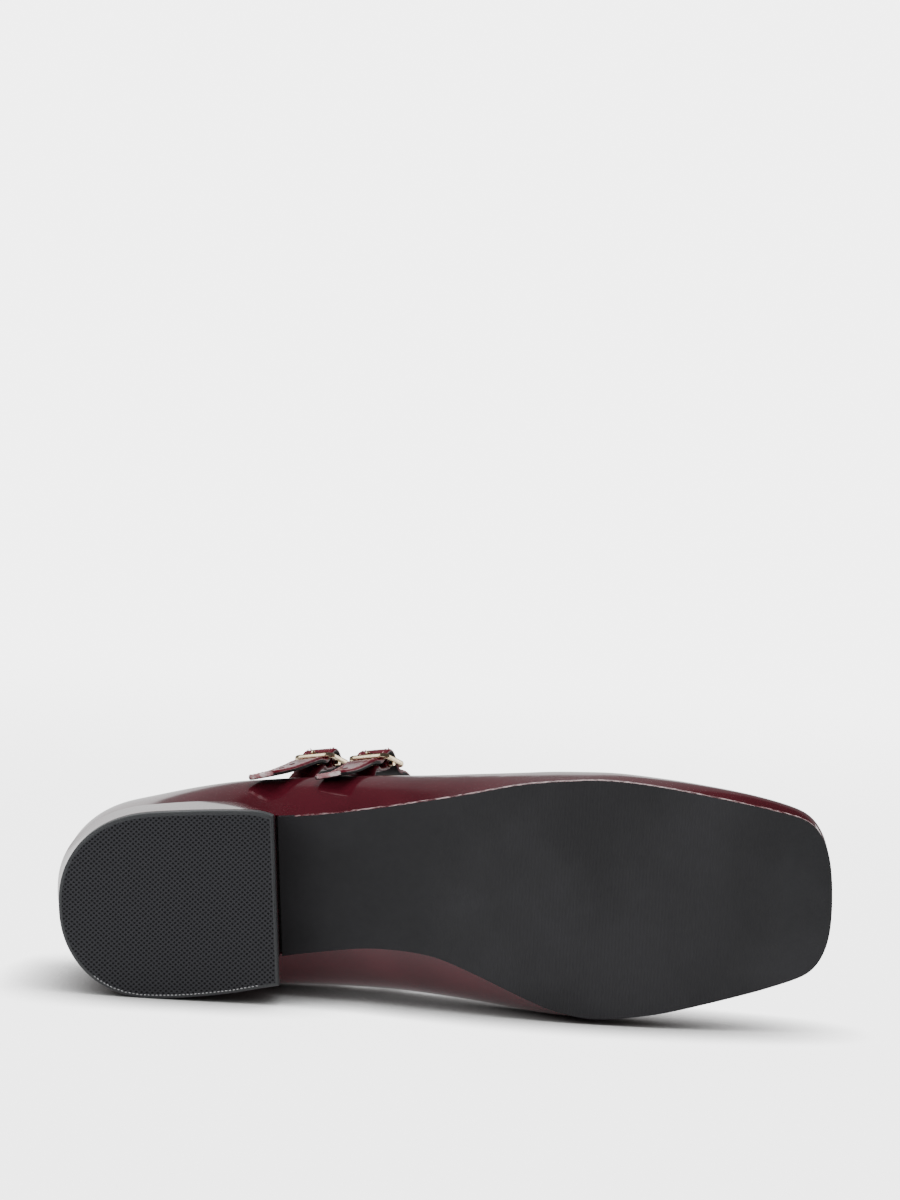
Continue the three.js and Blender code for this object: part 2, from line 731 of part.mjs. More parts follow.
// The strap with its hump over the pin and the hole for the prong
function strapBody(route, frame) {
  const length = route.curve.getLength();
  const buckleDistance = distanceTo(route, route.buckleAt);
  const places = [];
  for (let k = 0; k <= strapSteps; k += 1) {
    const share = k / strapSteps;
    const distance = warpedDistance(share, length, buckleDistance);
    const here = route.frame(route.curve.getUtoTmapping(distance / length));
    const fromPin = distance - buckleDistance;
    const flat = flatness(fromPin);
    here.place.lerp(locate(frame, fromPin, 0), flat);
    here.across.lerp(frame.across, flat).normalize();
    here.out.lerp(frame.out, flat).normalize();
    here.place.addScaledVector(here.out, strapLift(fromPin));
    places.push(here);
  }
  places.forEach((here, k) => {
    const before = places[Math.max(k - 1, 0)].place;
    const after = places[Math.min(k + 1, strapSteps)].place;
    const along = after.clone().sub(before);
    here.out = here.across.clone().cross(along).normalize();
  });
  const band = solid(bandBody(places, strapWidth, strapThickness));
  const hole = solid(placed(rodBody(prongCurve(), prongRadius + fit, prongSteps), frame));
  return surface(band.subtract(hole));
}

function distanceTo(route, t) {
  const steps = 400;
  let sum = 0;
  let before = route.curve.getPoint(0);
  for (let k = 1; k <= steps; k += 1) {
    const next = route.curve.getPoint(t * k / steps);
    sum += next.distanceTo(before);
    before = next;
  }
  return sum;
}

// Spreads the steps so that a third of them fall within reach of the buckle
function warpedDistance(share, length, middle) {
  const start = middle - buckleReach;
  const end = middle + buckleReach;
  if (share < 0.2) return start * share / 0.2;
  if (share < 0.65) return start + (end - start) * (share - 0.2) / 0.45;
  return end + (length - end) * (share - 0.65) / 0.35;
}

// The tab that carries the buckle: a loop round the pin and a flat end in the collar
function tabBody(frame, side) {
  const reach = frameLength / 2;
  const under = barUnder - strapThickness / 2 - fit - tabThickness / 2;
  const loopOuter = pinRadius + fit + tabThickness / 2;
  const root = loopOuter * Math.SQRT1_2;
  const points = [
    locate(frame, -root / 2, -pinDrop - root - tabThickness / 4),
    locate(frame, -reach * tabDipShare, under),
    locate(frame, -reach, under - tabThickness / 4),
    ...toplineFoot(frame, side),
  ];
  const curve = new THREE.CatmullRomCurve3(points, false, 'centripetal');
  const places = [];
  for (let k = 0; k <= tabSteps; k += 1) {
    const t = k / tabSteps;
    const along = curve.getTangent(t);
    const across = frame.across.clone();
    across.addScaledVector(along, -across.dot(along)).normalize();
    places.push({ place: curve.getPoint(t), across, out: across.clone().cross(along).normalize() });
  }
  const ringShape = new THREE.Shape();
  ringShape.absarc(0, 0, loopOuter, 0, 2 * Math.PI, false);
  const loop = new THREE.ExtrudeGeometry(ringShape, {
    depth: tabWidth, curveSegments: 8, steps: 1, bevelEnabled: false,
  });
  loop.translate(0, 0, -tabWidth / 2);
  loop.rotateX(Math.PI / 2);
  loop.translate(0, 0, -pinDrop);
  const slotReach = prongRing + prongRadius + fit;
  const slot = new THREE.BoxGeometry(2 * slotReach, prongSlot, 4 * loopOuter);
  slot.translate(0, 0, -pinDrop);
  const pinHole = new THREE.CylinderGeometry(pinRadius + pinFit, pinRadius + pinFit, frameWidth, 12);
  pinHole.translate(0, 0, -pinDrop);
  return surface(solid(bandBody(places, tabWidth, tabThickness))
    .add(solid(placed(loop, frame)))
    .subtract(solid(placed(slot, frame)))
    .subtract(solid(placed(pinHole, frame))));
}

// Where the tab passes over the rim and is sewn to the inside of the upper
function toplineFoot(frame, side) {
  const down = frame.along.clone().setY(0).normalize().negate();
  const inside = upperWall + fit + tabEase + tabThickness / 2;
  let x = frame.place.x;
  for (let pass = 0; pass < 6; pass += 1) {
    const rise = frame.place.z - toplinePoint(side, x).z;
    x = frame.place.x + down.x * rise / -down.z;
  }
  const under = (lap, depth) => {
    const z = toplinePoint(side, x).z + down.z * lap;
    const { place, normal } = flankPoint(side, x + down.x * lap, z);
    return place.addScaledVector(normal, -depth);
  };
  const over = toplinePoint(side, x);
  over.y -= side.sign * upperWall / 2;
  over.z += tabThickness / 2 + tabRimRise;
  const past = over.clone();
  past.y -= side.sign * (upperWall + tabThickness + tabEase);
  past.z -= tabThickness;
  return [over, past, ...[0.5, 1].map((share) => under(tabLap * share, inside))];
}

// The upper's outer skin at a height, with its outward normal
function flankPoint(side, x, z) {
  const skin = (sx) => {
    const points = rib(side, sx).slice(lowerSteps);
    const last = points.length - 1;
    let k = 1;
    while (k < last && points[k].z < z) k += 1;
    const share = (z - points[k - 1].z) / (points[k].z - points[k - 1].z);
    return points[k - 1].clone().lerp(points[k], share);
  };
  const place = skin(x);
  const ahead = skin(x + 2).sub(skin(x - 2));
  const points = rib(side, x).slice(lowerSteps);
  const last = points.length - 1;
  let k = 1;
  while (k < last && points[k].z < z) k += 1;
  const up = points[k].clone().sub(points[k - 1]);
  const normal = ahead.cross(up).normalize();
  if (normal.y * side.sign < 0) normal.negate();
  return { place, normal };
}

// Finishes
const finishes = {
  patent: { color: 0x571722, roughness: 0.12, metalness: 0 },
  lining: { color: 0x1c1b1c, roughness: 0.7, metalness: 0 },
  sole: { color: 0x323234, roughness: 0.55, metalness: 0 },
  rubber: { color: 0x3a3a3e, roughness: 0.65, metalness: 0 },
  gold: { color: 0xd8b679, roughness: 0.25, metalness: 1 },
};

function piece(name, geometry, finish) {
  const mesh = new THREE.Mesh(geometry, new THREE.MeshStandardMaterial(finishes[finish]));
  mesh.name = name;
  return mesh;
}

const shoe = new THREE.Group();
shoe.add(
  piece('upper', upperBody(), 'patent'),
  piece('insole', insoleBody(), 'lining'),
  piece('outsole', outsoleBody(), 'sole'),
  piece('heel_block', heelBlockBody(), 'patent'),
  piece('top_piece', topPieceBody(), 'rubber'),
);
for (const [place, rows] of [['rear', rearStrapRows], ['front', frontStrapRows]]) {
  const route = strapRoute(rows);
  const frame = route.frame(route.buckleAt);
  shoe.add(
    piece(`strap_${place}`, strapBody(route, frame), 'patent'),
    piece(`buckle_strap_${place}`, tabBody(frame, sides[0]), 'patent'),
    piece(`buckle_frame_${place}`, buckleFrameBody(frame), 'gold'),
    piece(`buckle_prong_${place}`, prongBody(frame), 'gold'),
  );
}

// Middle of the volume of all pieces, which is near enough their centre of mass
function centreOfVolume(group) {
  const sum = new THREE.Vector3();
  let total = 0;
  for (const mesh of group.children) {
    const position = mesh.geometry.getAttribute('position');
    const index = mesh.geometry.getIndex();
    for (let k = 0; k < index.count; k += 3) {
      const [a, b, c] = [0, 1, 2].map((n) => new THREE.Vector3()
        .fromBufferAttribute(position, index.getX(k + n)));
      const volume = a.dot(b.clone().cross(c)) / 6;
      sum.addScaledVector(a.add(b).add(c), volume / 4);
      total += volume;
    }
  }
  return sum.divideScalar(total);
}

// Lays the shoe on its inner side, on the facet of its hull that carries its weight
function layDown(group) {
  const turn = new THREE.Quaternion().setFromAxisAngle(new THREE.Vector3(1, 0, 0), -Math.PI / 2);
  const points = [];
  for (const mesh of group.children) {
    const position = mesh.geometry.getAttribute('position');
    for (let k = 0; k < position.count; k += 1) {
      points.push(new THREE.Vector3().fromBufferAttribute(position, k).applyQuaternion(turn));
    }
  }
  const centre = centreOfVolume(group).applyQuaternion(turn);
  const down = new THREE.Vector3(0, 0, -1);
  const hull = new ConvexHull().setFromPoints(points);
  const resting = hull.faces.find((face) => {
    if (face.normal.dot(down) < 0.9) return false;
    return [0, 1, 2].every((k) => {
      const from = face.getEdge(k).tail().point;
      const to = face.getEdge(k).head().point;
      const inward = face.normal.clone().cross(to.clone().sub(from));
      return inward.dot(centre.clone().sub(from)) >= 0;
    });
  });
  const level = new THREE.Quaternion().setFromUnitVectors(resting.normal, down);
  level.multiply(turn);
  const toe = new THREE.Vector3(1, 0, 0).applyQuaternion(level);
  const heading = new THREE.Quaternion().setFromAxisAngle(
    new THREE.Vector3(0, 0, 1), -Math.atan2(toe.y, toe.x));
  group.quaternion.copy(heading.multiply(level));
  group.updateMatrixWorld(true);
  const box = new THREE.Box3().setFromObject(group, true);
  const middle = box.getCenter(new THREE.Vector3());
  group.position.set(-middle.x, -middle.y, -box.min.z);
  return group;
}

const part = new THREE.Group();
part.add(layDown(shoe));

export default part;
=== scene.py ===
"""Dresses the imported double-strap shoe with its leather, soles, straps, buckles and stitches.

The shapes come from the CAD nodes of the frame. The straps' and tabs' routes and the buckles'
places are read off their nodes.
"""

from __future__ import annotations

import logging
import math
from dataclasses import dataclass, field
from enum import Enum
from typing import Any, Iterable, Sequence

import bmesh
import bpy
from mathutils import Matrix, Vector
from mathutils.bvhtree import BVHTree

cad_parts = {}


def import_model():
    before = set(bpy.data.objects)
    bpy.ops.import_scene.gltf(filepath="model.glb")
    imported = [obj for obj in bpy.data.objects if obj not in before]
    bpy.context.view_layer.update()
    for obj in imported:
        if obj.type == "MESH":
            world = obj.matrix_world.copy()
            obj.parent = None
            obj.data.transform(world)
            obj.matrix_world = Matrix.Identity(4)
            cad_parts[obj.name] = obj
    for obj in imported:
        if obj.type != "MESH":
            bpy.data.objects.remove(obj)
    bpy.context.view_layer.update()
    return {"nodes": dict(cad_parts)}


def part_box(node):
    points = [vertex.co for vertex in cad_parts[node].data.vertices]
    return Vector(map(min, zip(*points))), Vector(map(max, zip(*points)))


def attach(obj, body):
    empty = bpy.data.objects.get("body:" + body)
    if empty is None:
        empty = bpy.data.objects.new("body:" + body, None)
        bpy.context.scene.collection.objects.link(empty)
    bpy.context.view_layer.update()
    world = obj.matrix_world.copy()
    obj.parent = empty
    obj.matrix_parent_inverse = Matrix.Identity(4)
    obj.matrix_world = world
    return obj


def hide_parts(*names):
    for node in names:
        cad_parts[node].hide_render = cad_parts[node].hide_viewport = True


LOG = logging.getLogger("shoe")
MM = 0.001
Colour = tuple[float, float, float]
NO_SHARP_EDGE = 179.0

# How far the leather lies above the CAD strap, from its free tail on, in millimetres
TAIL_LIFT = (
    0.0, -0.5, -0.9, -1.3, -1.6, -1.8, -1.9, -1.9, -1.8, -1.5,
    -1.0, -0.5, -0.1, 0.3, 0.9, 1.4, 1.5, 1.0, 0.4,
)


class Side(Enum):
    """Which strap of the two a piece belongs to."""

    REAR = "rear"
    FRONT = "front"


# Shader expressions
class Value:
    """A shader socket that takes part in Python expressions."""

    def __init__(self, shader: Shader, socket: bpy.types.NodeSocket) -> None:
        """Keeps the socket and the shader that it belongs to."""
        self.shader = shader
        self.socket = socket

    def math(self, operation: str, *others: Value | float) -> Value:
        """Adds a Math node of this value and up to two others.

        Args:
            operation: the Math node's operation.
            others: the values that go into its other sockets.

        Returns:
            The node's result.
        """
        inputs = {0: self, **{k + 1: other for k, other in enumerate(others)}}
        return self.shader.node("ShaderNodeMath", {"operation": operation}, inputs)

    def reversed_math(self, operation: str, other: float) -> Value:
        """Adds a Math node whose first value is the plain number."""
        return self.shader.node("ShaderNodeMath", {"operation": operation}, {0: other, 1: self})

    def __add__(self, other: Value | float) -> Value:
        """Adds another value."""
        return self.math("ADD", other)

    def __radd__(self, other: float) -> Value:
        """Adds to a number."""
        return self.math("ADD", other)

    def __sub__(self, other: Value | float) -> Value:
        """Takes another value away."""
        return self.math("SUBTRACT", other)

    def __rsub__(self, other: float) -> Value:
        """Is taken away from a number."""
        return self.reversed_math("SUBTRACT", other)

    def __mul__(self, other: Value | float) -> Value:
        """Multiplies by another value."""
        return self.math("MULTIPLY", other)

    def __rmul__(self, other: float) -> Value:
        """Multiplies a number."""
        return self.math("MULTIPLY", other)

    def __truediv__(self, other: Value | float) -> Value:
        """Divides by another value."""
        return self.math("DIVIDE", other)

    def __pow__(self, other: float) -> Value:
        """Raises to a power."""
        return self.math("POWER", other)

    def ramp(self, low: float, high: float) -> Value:
        """Turns smoothly from 0 at low to 1 at high.

        Args:
            low: the number that gives 0.
            high: the number that gives 1.

        Returns:
            The share from 0 to 1.
        """
        return self.shader.node(
            "ShaderNodeMapRange",
            {"interpolation_type": "SMOOTHSTEP"},
            {"Value": self, "From Min": low, "From Max": high},
        )


class Shader:
    """One material under construction."""

    def __init__(self, name: str) -> None:
        """Starts an empty node material.

        Args:
            name: the material's name.
        """
        self.material = bpy.data.materials.new(name)
        self.material.use_nodes = True
        self.tree = self.material.node_tree
        self.tree.nodes.clear()

    def node(self, kind: str, settings: dict[str, Any], inputs: dict[Any, Any], output: int = 0) -> Value:
        """Adds any node.

        Args:
            kind: the node's type.
            settings: its own settings, which are set first.
            inputs: what goes into its sockets, as numbers, colours or links.
            output: which of its outputs is wanted.

        Returns:
            That output as a value.
        """
        made = self.tree.nodes.new(kind)
        for name, setting in settings.items():
            setattr(made, name, setting)
        for key, given in inputs.items():
            if isinstance(given, Value):
                self.tree.links.new(given.socket, made.inputs[key])
            else:
                made.inputs[key].default_value = given
        return Value(self, made.outputs[output])

    def point(self) -> Value:
        """The place on the object."""
        return self.node("ShaderNodeTexCoord", {}, {}, output=3)

    def parts(self, vector: Value) -> tuple[Value, Value, Value]:
        """Splits a vector into its three numbers.

        Args:
            vector: the vector to split.

        Returns:
            Its x, y and z.
        """
        x = self.node("ShaderNodeSeparateXYZ", {}, {0: vector})
        outputs = x.socket.node.outputs
        return Value(self, outputs[0]), Value(self, outputs[1]), Value(self, outputs[2])

    def turned(self, turn: Vector, scale: tuple[float, float, float]) -> Value:
        """The place on the object, turned and scaled so that a pattern lies along it.

        Args:
            turn: the turn about each axis, in radians.
            scale: the scale along each axis.

        Returns:
            The turned and scaled place.
        """
        return self.node(
            "ShaderNodeMapping", {"vector_type": "POINT"},
            {"Vector": self.point(), "Rotation": turn, "Scale": scale},
        )

    def noise(self, scale: float, detail: float = 3.0, vector: Value | None = None) -> Value:
        """Fine uneven noise from 0 to 1.

        Args:
            scale: how fine the noise is.
            detail: how many finer layers it has.
            vector: where it is read, or None for the place on the object.

        Returns:
            The noise.
        """
        return self.node(
            "ShaderNodeTexNoise", {},
            {"Vector": vector or self.point(), "Scale": scale, "Detail": detail},
        )

    def blend(self, share: Value, low: Colour | Value, high: Colour | Value) -> Value:
        """Mixes two colours by a share.

        Args:
            share: the share of the second colour.
            low: the colour where the share is 0.
            high: the colour where the share is 1.

        Returns:
            The mixed colour.
        """
        sides = [c if isinstance(c, Value) else (*c, 1) for c in (low, high)]
        return self.node(
            "ShaderNodeMix", {"data_type": "RGBA"}, {"Factor": share, 6: sides[0], 7: sides[1]}, output=2,
        )

    def bump(self, height: Value, depth: float, before: Value | None = None) -> Value:
        """Raises the surface by a height, in metres.

        Args:
            height: the height, as a multiple of the depth.
            depth: how far a height of 1 rises, in metres.
            before: another bump that this one is added to, or None.

        Returns:
            The surface direction.
        """
        inputs: dict[str, Any] = {"Height": height, "Distance": depth, "Strength": 1.0}
        if before:
            inputs["Normal"] = before
        return self.node("ShaderNodeBump", {}, inputs)

    def surface(self, inputs: dict[str, Any]) -> bpy.types.Material:
        """Closes the material with its surface.

        Args:
            inputs: the surface's sockets.

        Returns:
            The finished material.
        """
        skin = self.node("ShaderNodeBsdfPrincipled", {}, inputs)
        end = self.tree.nodes.new("ShaderNodeOutputMaterial")
        self.tree.links.new(skin.socket, end.inputs["Surface"])
        return self.material


# Finishes
@dataclass(frozen=True)
class Patent:
    """Burgundy patent leather with a clear hard gloss."""

    name: str = "patent"
    deep: Colour = (0.074, 0.005, 0.012)
    bright: Colour = (0.098, 0.009, 0.018)
    roughness: float = 0.16
    crease: float = 0.0
    gloss: float = 1.0
    wave: float = 0.35 * MM
    coat_roughness: float = 0.045
    coat_ior: float = 1.55

    def build(self) -> bpy.types.Material:
        """Makes the material.

        Returns:
            The material.
        """
        shader = Shader(self.name)
        cloud = shader.noise(38.0, 2.0)
        film = shader.noise(260.0, 2.0)
        dust_and_highlight = shader.noise(2600.0, 4.0).ramp(0.60, 0.75)
        relief = shader.bump(cloud * 0.8 + film * 0.2, self.wave)
        if self.crease:
            relief = shader.bump(shader.noise(620.0, 3.0), self.crease, relief)
        return shader.surface({
            "Base Color": shader.blend(cloud.ramp(0.35, 0.65), self.deep, self.bright),
            "Roughness": self.roughness + dust_and_highlight * 0.06 + cloud * 0.04,
            "Normal": relief,
            "Coat Weight": self.gloss,
            "Coat Roughness": self.coat_roughness,
            "Coat IOR": self.coat_ior,
            "Specular IOR Level": 0.5 * self.gloss,
        })


@dataclass(frozen=True)
class Lining:
    """Black grained lining leather."""

    name: str = "lining"
    dark: Colour = (0.013, 0.013, 0.014)
    light: Colour = (0.021, 0.020, 0.021)
    grain_depth: float = 0.08 * MM

    def build(self) -> bpy.types.Material:
        """Makes the material.

        Returns:
            The material.
        """
        shader = Shader(self.name)
        grain = shader.node(
            "ShaderNodeTexVoronoi", {"feature": "DISTANCE_TO_EDGE"},
            {"Vector": shader.point(), "Scale": 1300.0},
        )
        tone = shader.noise(90.0)
        return shader.surface({
            "Base Color": shader.blend(tone.ramp(0.3, 0.7), self.dark, self.light),
            "Roughness": 0.55 + tone * 0.15,
            "Normal": shader.bump(grain.ramp(0.0, 0.12), self.grain_depth),
        })


@dataclass(frozen=True)
class Tread:
    """The black outsole, with fine lines across it under the ball."""

    name: str = "tread"
    dark: Colour = (0.018, 0.018, 0.020)
    light: Colour = (0.028, 0.028, 0.031)
    line_pitch: float = 1.1 * MM
    wander: float = 1.1 * MM
    relief: float = 0.07 * MM
    shine: float = 0.36
    lines_begin: tuple[float, float] = (-0.01, 0.03)
    lines_end: tuple[float, float] = (0.085, 0.115)

    def build(self) -> bpy.types.Material:
        """Makes the material.

        Returns:
            The material.
        """
        shader = Shader(self.name)
        x, _, _ = shader.parts(shader.point())
        wander = shader.noise(55.0, 2.0) * self.wander
        lines = (((x + wander) / self.line_pitch) * (2 * math.pi)).math("SINE")
        under_ball = x.ramp(*self.lines_begin) * (1 - x.ramp(*self.lines_end))
        rub = shader.noise(420.0, 5.0)
        cloud = shader.noise(22.0, 3.0)
        lift = lines * under_ball * 0.5 + rub * 0.8
        return shader.surface({
            "Base Color": shader.blend(cloud.ramp(0.35, 0.7), self.dark, self.light),
            "Roughness": 0.52 + rub * 0.14,
            "Normal": shader.bump(lift, self.relief),
            "Specular IOR Level": self.shine,
        })


@dataclass(frozen=True)
class EdgePaint:
    """Glossy burgundy paint on the sole's edge, with pale pink patches on its upper side that are a painted
    highlight.
    """

    name: str = "edge_paint"
    deep: Colour = (0.10, 0.018, 0.026)
    # The next three settings paint a highlight: its pale pink, how strongly it shows and the height above
    # which it shows.
    pale: Colour = (0.80, 0.64, 0.64)
    dust_and_highlight: float = 0.6
    highlight_above: tuple[float, float] = (0.050, 0.068)
    relief: float = 0.2 * MM

    def build(self) -> bpy.types.Material:
        """Makes the material.

        Returns:
            The material.
        """
        shader = Shader(self.name)
        _, _, z = shader.parts(shader.point())
        # Painted highlight: pale noisy patches only above a height, where the sole's edge faces the light.
        highlight_patches = shader.noise(380.0, 5.0).ramp(0.44, 0.62) * z.ramp(*self.highlight_above)
        return shader.surface({
            "Base Color": shader.blend(highlight_patches * self.dust_and_highlight, self.deep, self.pale),
            "Roughness": 0.26 + highlight_patches * 0.2,
            "Normal": shader.bump(shader.noise(300.0, 4.0), self.relief),
        })


@dataclass(frozen=True)
class PittedRubber:
    """Dark rubber with rows of small oval pits, each row half a step on from the last; the pits are painted
    near-black as painted shade in their hollows.
    """

    name: str = "pitted_rubber"
    body: Colour = (0.040, 0.040, 0.045)
    pit_shade: Colour = (0.004, 0.004, 0.005)
    pitch: float = 1.75 * MM
    row: float = 0.8 * MM
    roughness: float = 0.50
    pit_radius: tuple[float, float] = (0.20 * MM, 0.42 * MM)
    relief: float = 0.22 * MM
    depth: float = 0.9
    shine: float = 0.2

    def build(self) -> bpy.types.Material:
        """Makes the material.

        Returns:
            The material.
        """
        shader = Shader(self.name)
        x, _, z = shader.parts(shader.point())
        row = z / self.row
        odd = (row / 2.0).math("FRACT").math("GREATER_THAN", 0.5) * 0.5
        across = ((x / self.pitch + odd).math("FRACT") - 0.5) * self.pitch
        along = (row.math("FRACT") - 0.5) * self.row
        away = (across * across * 0.7 + along * along).math("SQRT")
        pits = 1 - away.ramp(*self.pit_radius)
        grit = shader.noise(900.0, 4.0)
        # The pits' near-black colour is painted shade; their bump is the real hollow.
        return shader.surface({
            "Base Color": shader.blend(pits, self.body, self.pit_shade),
            "Roughness": self.roughness + grit * 0.16,
            "Normal": shader.bump(grit * 0.12 - pits * self.depth, self.relief),
            "Specular IOR Level": self.shine,
        })


@dataclass(frozen=True)
class PaleGold:
    """Polished pale gold plating."""

    name: str = "pale_gold"
    low: Colour = (0.84, 0.66, 0.42)
    high: Colour = (0.95, 0.80, 0.56)
    scratch_depth: float = 0.01 * MM

    def build(self) -> bpy.types.Material:
        """Makes the material.

        Returns:
            The material.
        """
        shader = Shader(self.name)
        cloud = shader.noise(160.0, 3.0)
        scratch = shader.noise(60.0, 4.0, shader.turned(Vector((0.3, 0.2, 0.5)), (4.0, 60.0, 9.0)))
        return shader.surface({
            "Base Color": shader.blend(cloud.ramp(0.3, 0.7), self.low, self.high),
            "Metallic": 1.0,
            "Roughness": 0.20 + scratch.ramp(0.45, 0.8) * 0.14,
            "Normal": shader.bump(scratch, self.scratch_depth),
        })


@dataclass(frozen=True)
class Thread:
    """Waxed sewing thread."""

    name: str
    tone: Colour
    twist_depth: float = 0.06 * MM

    def build(self) -> bpy.types.Material:
        """Makes the material.

        Returns:
            The material.
        """
        shader = Shader(self.name)
        twist = shader.noise(3500.0, 2.0)
        lit = tuple(min(1.0, 1.8 * part) for part in self.tone)
        return shader.surface({
            "Base Color": shader.blend(twist.ramp(0.3, 0.7), self.tone, lit),
            "Roughness": 0.45 + twist * 0.2,
            "Normal": shader.bump(twist, self.twist_depth),
        })


# The finishes in use
class Finishes:
    """Each finish of the shoe, made once."""

    def __init__(self) -> None:
        """Makes the materials."""
        self.patent = Patent().build()
        strap = Patent(
            "strap_patent", (0.11, 0.008, 0.018), (0.17, 0.018, 0.032),
            roughness=0.26, crease=0.3 * MM, gloss=0.4)
        self.strap_patent = strap.build()
        self.lining = Lining().build()
        self.tread = Tread().build()
        self.edge_paint = EdgePaint().build()
        self.rubber = PittedRubber().build()
        # The top piece's sides are a lighter grey than its ground face as painted light.
        lit_side_tone = (0.056, 0.058, 0.061)
        self.rubber_side_lit = PittedRubber("rubber_side_lit", lit_side_tone, lit_side_tone, roughness=0.30, depth=0.0).build()
        # The rim ridges' pale grey is a painted reflection of the floor.
        self.ridge_reflection = Thread("ridge_painted_reflection", (0.34, 0.34, 0.35)).build()
        # The strap ends' pale pink is a painted highlight, fully pale on their upper side.
        self.cut_edge_highlight = EdgePaint("cut_edge_highlight", (0.50, 0.24, 0.26), (0.92, 0.78, 0.78), dust_and_highlight=1.0).build()
        self.gold = PaleGold().build()
        self.thread = Thread("thread", (0.085, 0.012, 0.020)).build()
        self.strap_thread = Thread("strap_thread", (0.42, 0.22, 0.23)).build()
        # The holes' near-black is painted shade: the holes are sunk cups that don't go through the strap.
        self.hole_shade = Lining("hole_shade", (0.004, 0.004, 0.004), (0.008, 0.007, 0.007)).build()


# Mesh tools
# A CAD band has eight corners round its section. The edge along a corner is bent by more than
# CORNER_BEND and turns by less than 60 degrees from one section to the next.
BAND_CORNERS = 8
CORNER_BEND = math.radians(25.0)
LEADS_ON = 0.5
# How many faces are tried for the direction of the most area, and the cosines that count as
# the same direction, as square on it and as lying level in a ring
LARGE_FACES = 40
SAME_WAY = 0.9999
SQUARE = 0.01
LEVEL = 0.2
# The bends, in degrees, that triangles are joined over and that a rounded rim's rings are told by
JOIN_FACES = 12.0
JOIN_SHAPE = 120.0
RING_BEND = 8.0
# How near corners count as one
JOINED = 0.004 * MM
# From a strap's edge to its seam
SEAM_INSET = 1.55 * MM


@dataclass(frozen=True)
class Station:
    """A place on a route with the directions across it and out of it."""

    place: Vector
    across: Vector
    out: Vector

    def matrix(self) -> Matrix:
        """Turns a section drawn in x and y into this station.

        Returns:
            The matrix.
        """
        along = self.across.cross(self.out)
        turn = Matrix((self.across, self.out, along)).transposed().to_4x4()
        return Matrix.Translation(self.place) @ turn

    def moved(self, across: float, out: float) -> Station:
        """The same station, moved sideways and outwards."""
        return Station(self.place + self.across * across + self.out * out, self.across, self.out)


def faced(places: Sequence[Vector], across: Sequence[Vector]) -> list[Station]:
    """Stations whose outward side stands square on the route.

    Args:
        places: points along the route.
        across: the direction across the route at each.

    Returns:
        One station for each point.
    """
    stations = []
    for k, place in enumerate(places):
        ahead = places[min(k + 1, len(places) - 1)] - places[max(k - 1, 0)]
        ahead.normalize()
        side = (across[k] - ahead * across[k].dot(ahead)).normalized()
        stations.append(Station(place, side, side.cross(ahead).normalized()))
    return stations


def rounded_band(width: float, thickness: float, groove: float = 0.0) -> list[tuple[float, float]]:
    """Section of a strap with folded edges.

    Args:
        width: its whole width.
        thickness: its whole thickness.
        groove: how deep the stitched lines are drawn in.

    Returns:
        Points round the section.
    """
    w = width / 2
    h = thickness / 2
    seam = w - SEAM_INSET
    top = [(w, 0.1 * h), (w - 0.10 * h, 0.62 * h), (w - 0.5 * h, 0.95 * h), (seam + 0.45 * MM, h)]
    top += [(seam, h - groove), (seam - 0.5 * MM, h), (seam * 0.5, 1.02 * h), (0.0, 1.04 * h)]
    mirrored = [(-x, y) for x, y in reversed(top[:-1])]
    under = [(-w + 0.2 * h, -0.75 * h), (-w + 0.8 * h, -h), (0.0, -h)]
    under += [(-x, y) for x, y in reversed(under[:-1])]
    return top + mirrored + under


def round_section(radius: float, count: int = 12) -> list[tuple[float, float]]:
    """Points round a circle."""
    turns = [2 * math.pi * k / count for k in range(count)]
    return [(radius * math.cos(t), radius * math.sin(t)) for t in turns]


def soft_square(width: float, depth: float, corner: float, count: int = 3) -> list[tuple[float, float]]:
    """Points round a rectangle with round corners.

    Args:
        width: the size along x.
        depth: the size along y.
        corner: the corners' radius.
        count: the steps in each corner.

    Returns:
        The points, in order.
    """
    points = []
    for sx, sy, start in ((1, 1, 0.0), (-1, 1, 0.5), (-1, -1, 1.0), (1, -1, 1.5)):
        for k in range(count + 1):
            turn = (start + 0.5 * k / count) * math.pi
            points.append((
                sx * (width / 2 - corner) + corner * math.cos(turn),
                sy * (depth / 2 - corner) + corner * math.sin(turn),
            ))
    return points


def sweep(
    mesh: bmesh.types.BMesh,
    section: Sequence[tuple[float, float]],
    stations: Sequence[Station],
    closed: bool = False,
) -> list[bmesh.types.BMFace]:
    """Draws a section along stations.

    Args:
        mesh: the mesh that it is added to.
        section: points round the section.
        stations: where the section passes.
        closed: whether the last station joins the first.

    Returns:
        The new faces.
    """
    start = stations[0].matrix()
    ring = [mesh.verts.new(start @ Vector((x, y, 0.0))) for x, y in section]
    edges = [mesh.edges.new((ring[k], ring[(k + 1) % len(ring)])) for k in range(len(ring))]
    first = list(edges)
    faces: list[bmesh.types.BMFace] = []
    before = start
    for station in stations[1:]:
        made = bmesh.ops.extrude_edge_only(mesh, edges=edges)["geom"]
        verts = [g for g in made if isinstance(g, bmesh.types.BMVert)]
        faces += [g for g in made if isinstance(g, bmesh.types.BMFace)]
        fresh = set(verts)
        edges = [g for g in made if isinstance(g, bmesh.types.BMEdge) and set(g.verts) <= fresh]
        after = station.matrix()
        bmesh.ops.transform(mesh, matrix=after @ before.inverted(), verts=verts)
        before = after
    if closed:
        faces += bmesh.ops.bridge_loops(mesh, edges=first + edges)["faces"]
    else:
        for loop in (first, edges):
            faces += bmesh.ops.contextual_create(mesh, geom=loop)["faces"]
    return faces


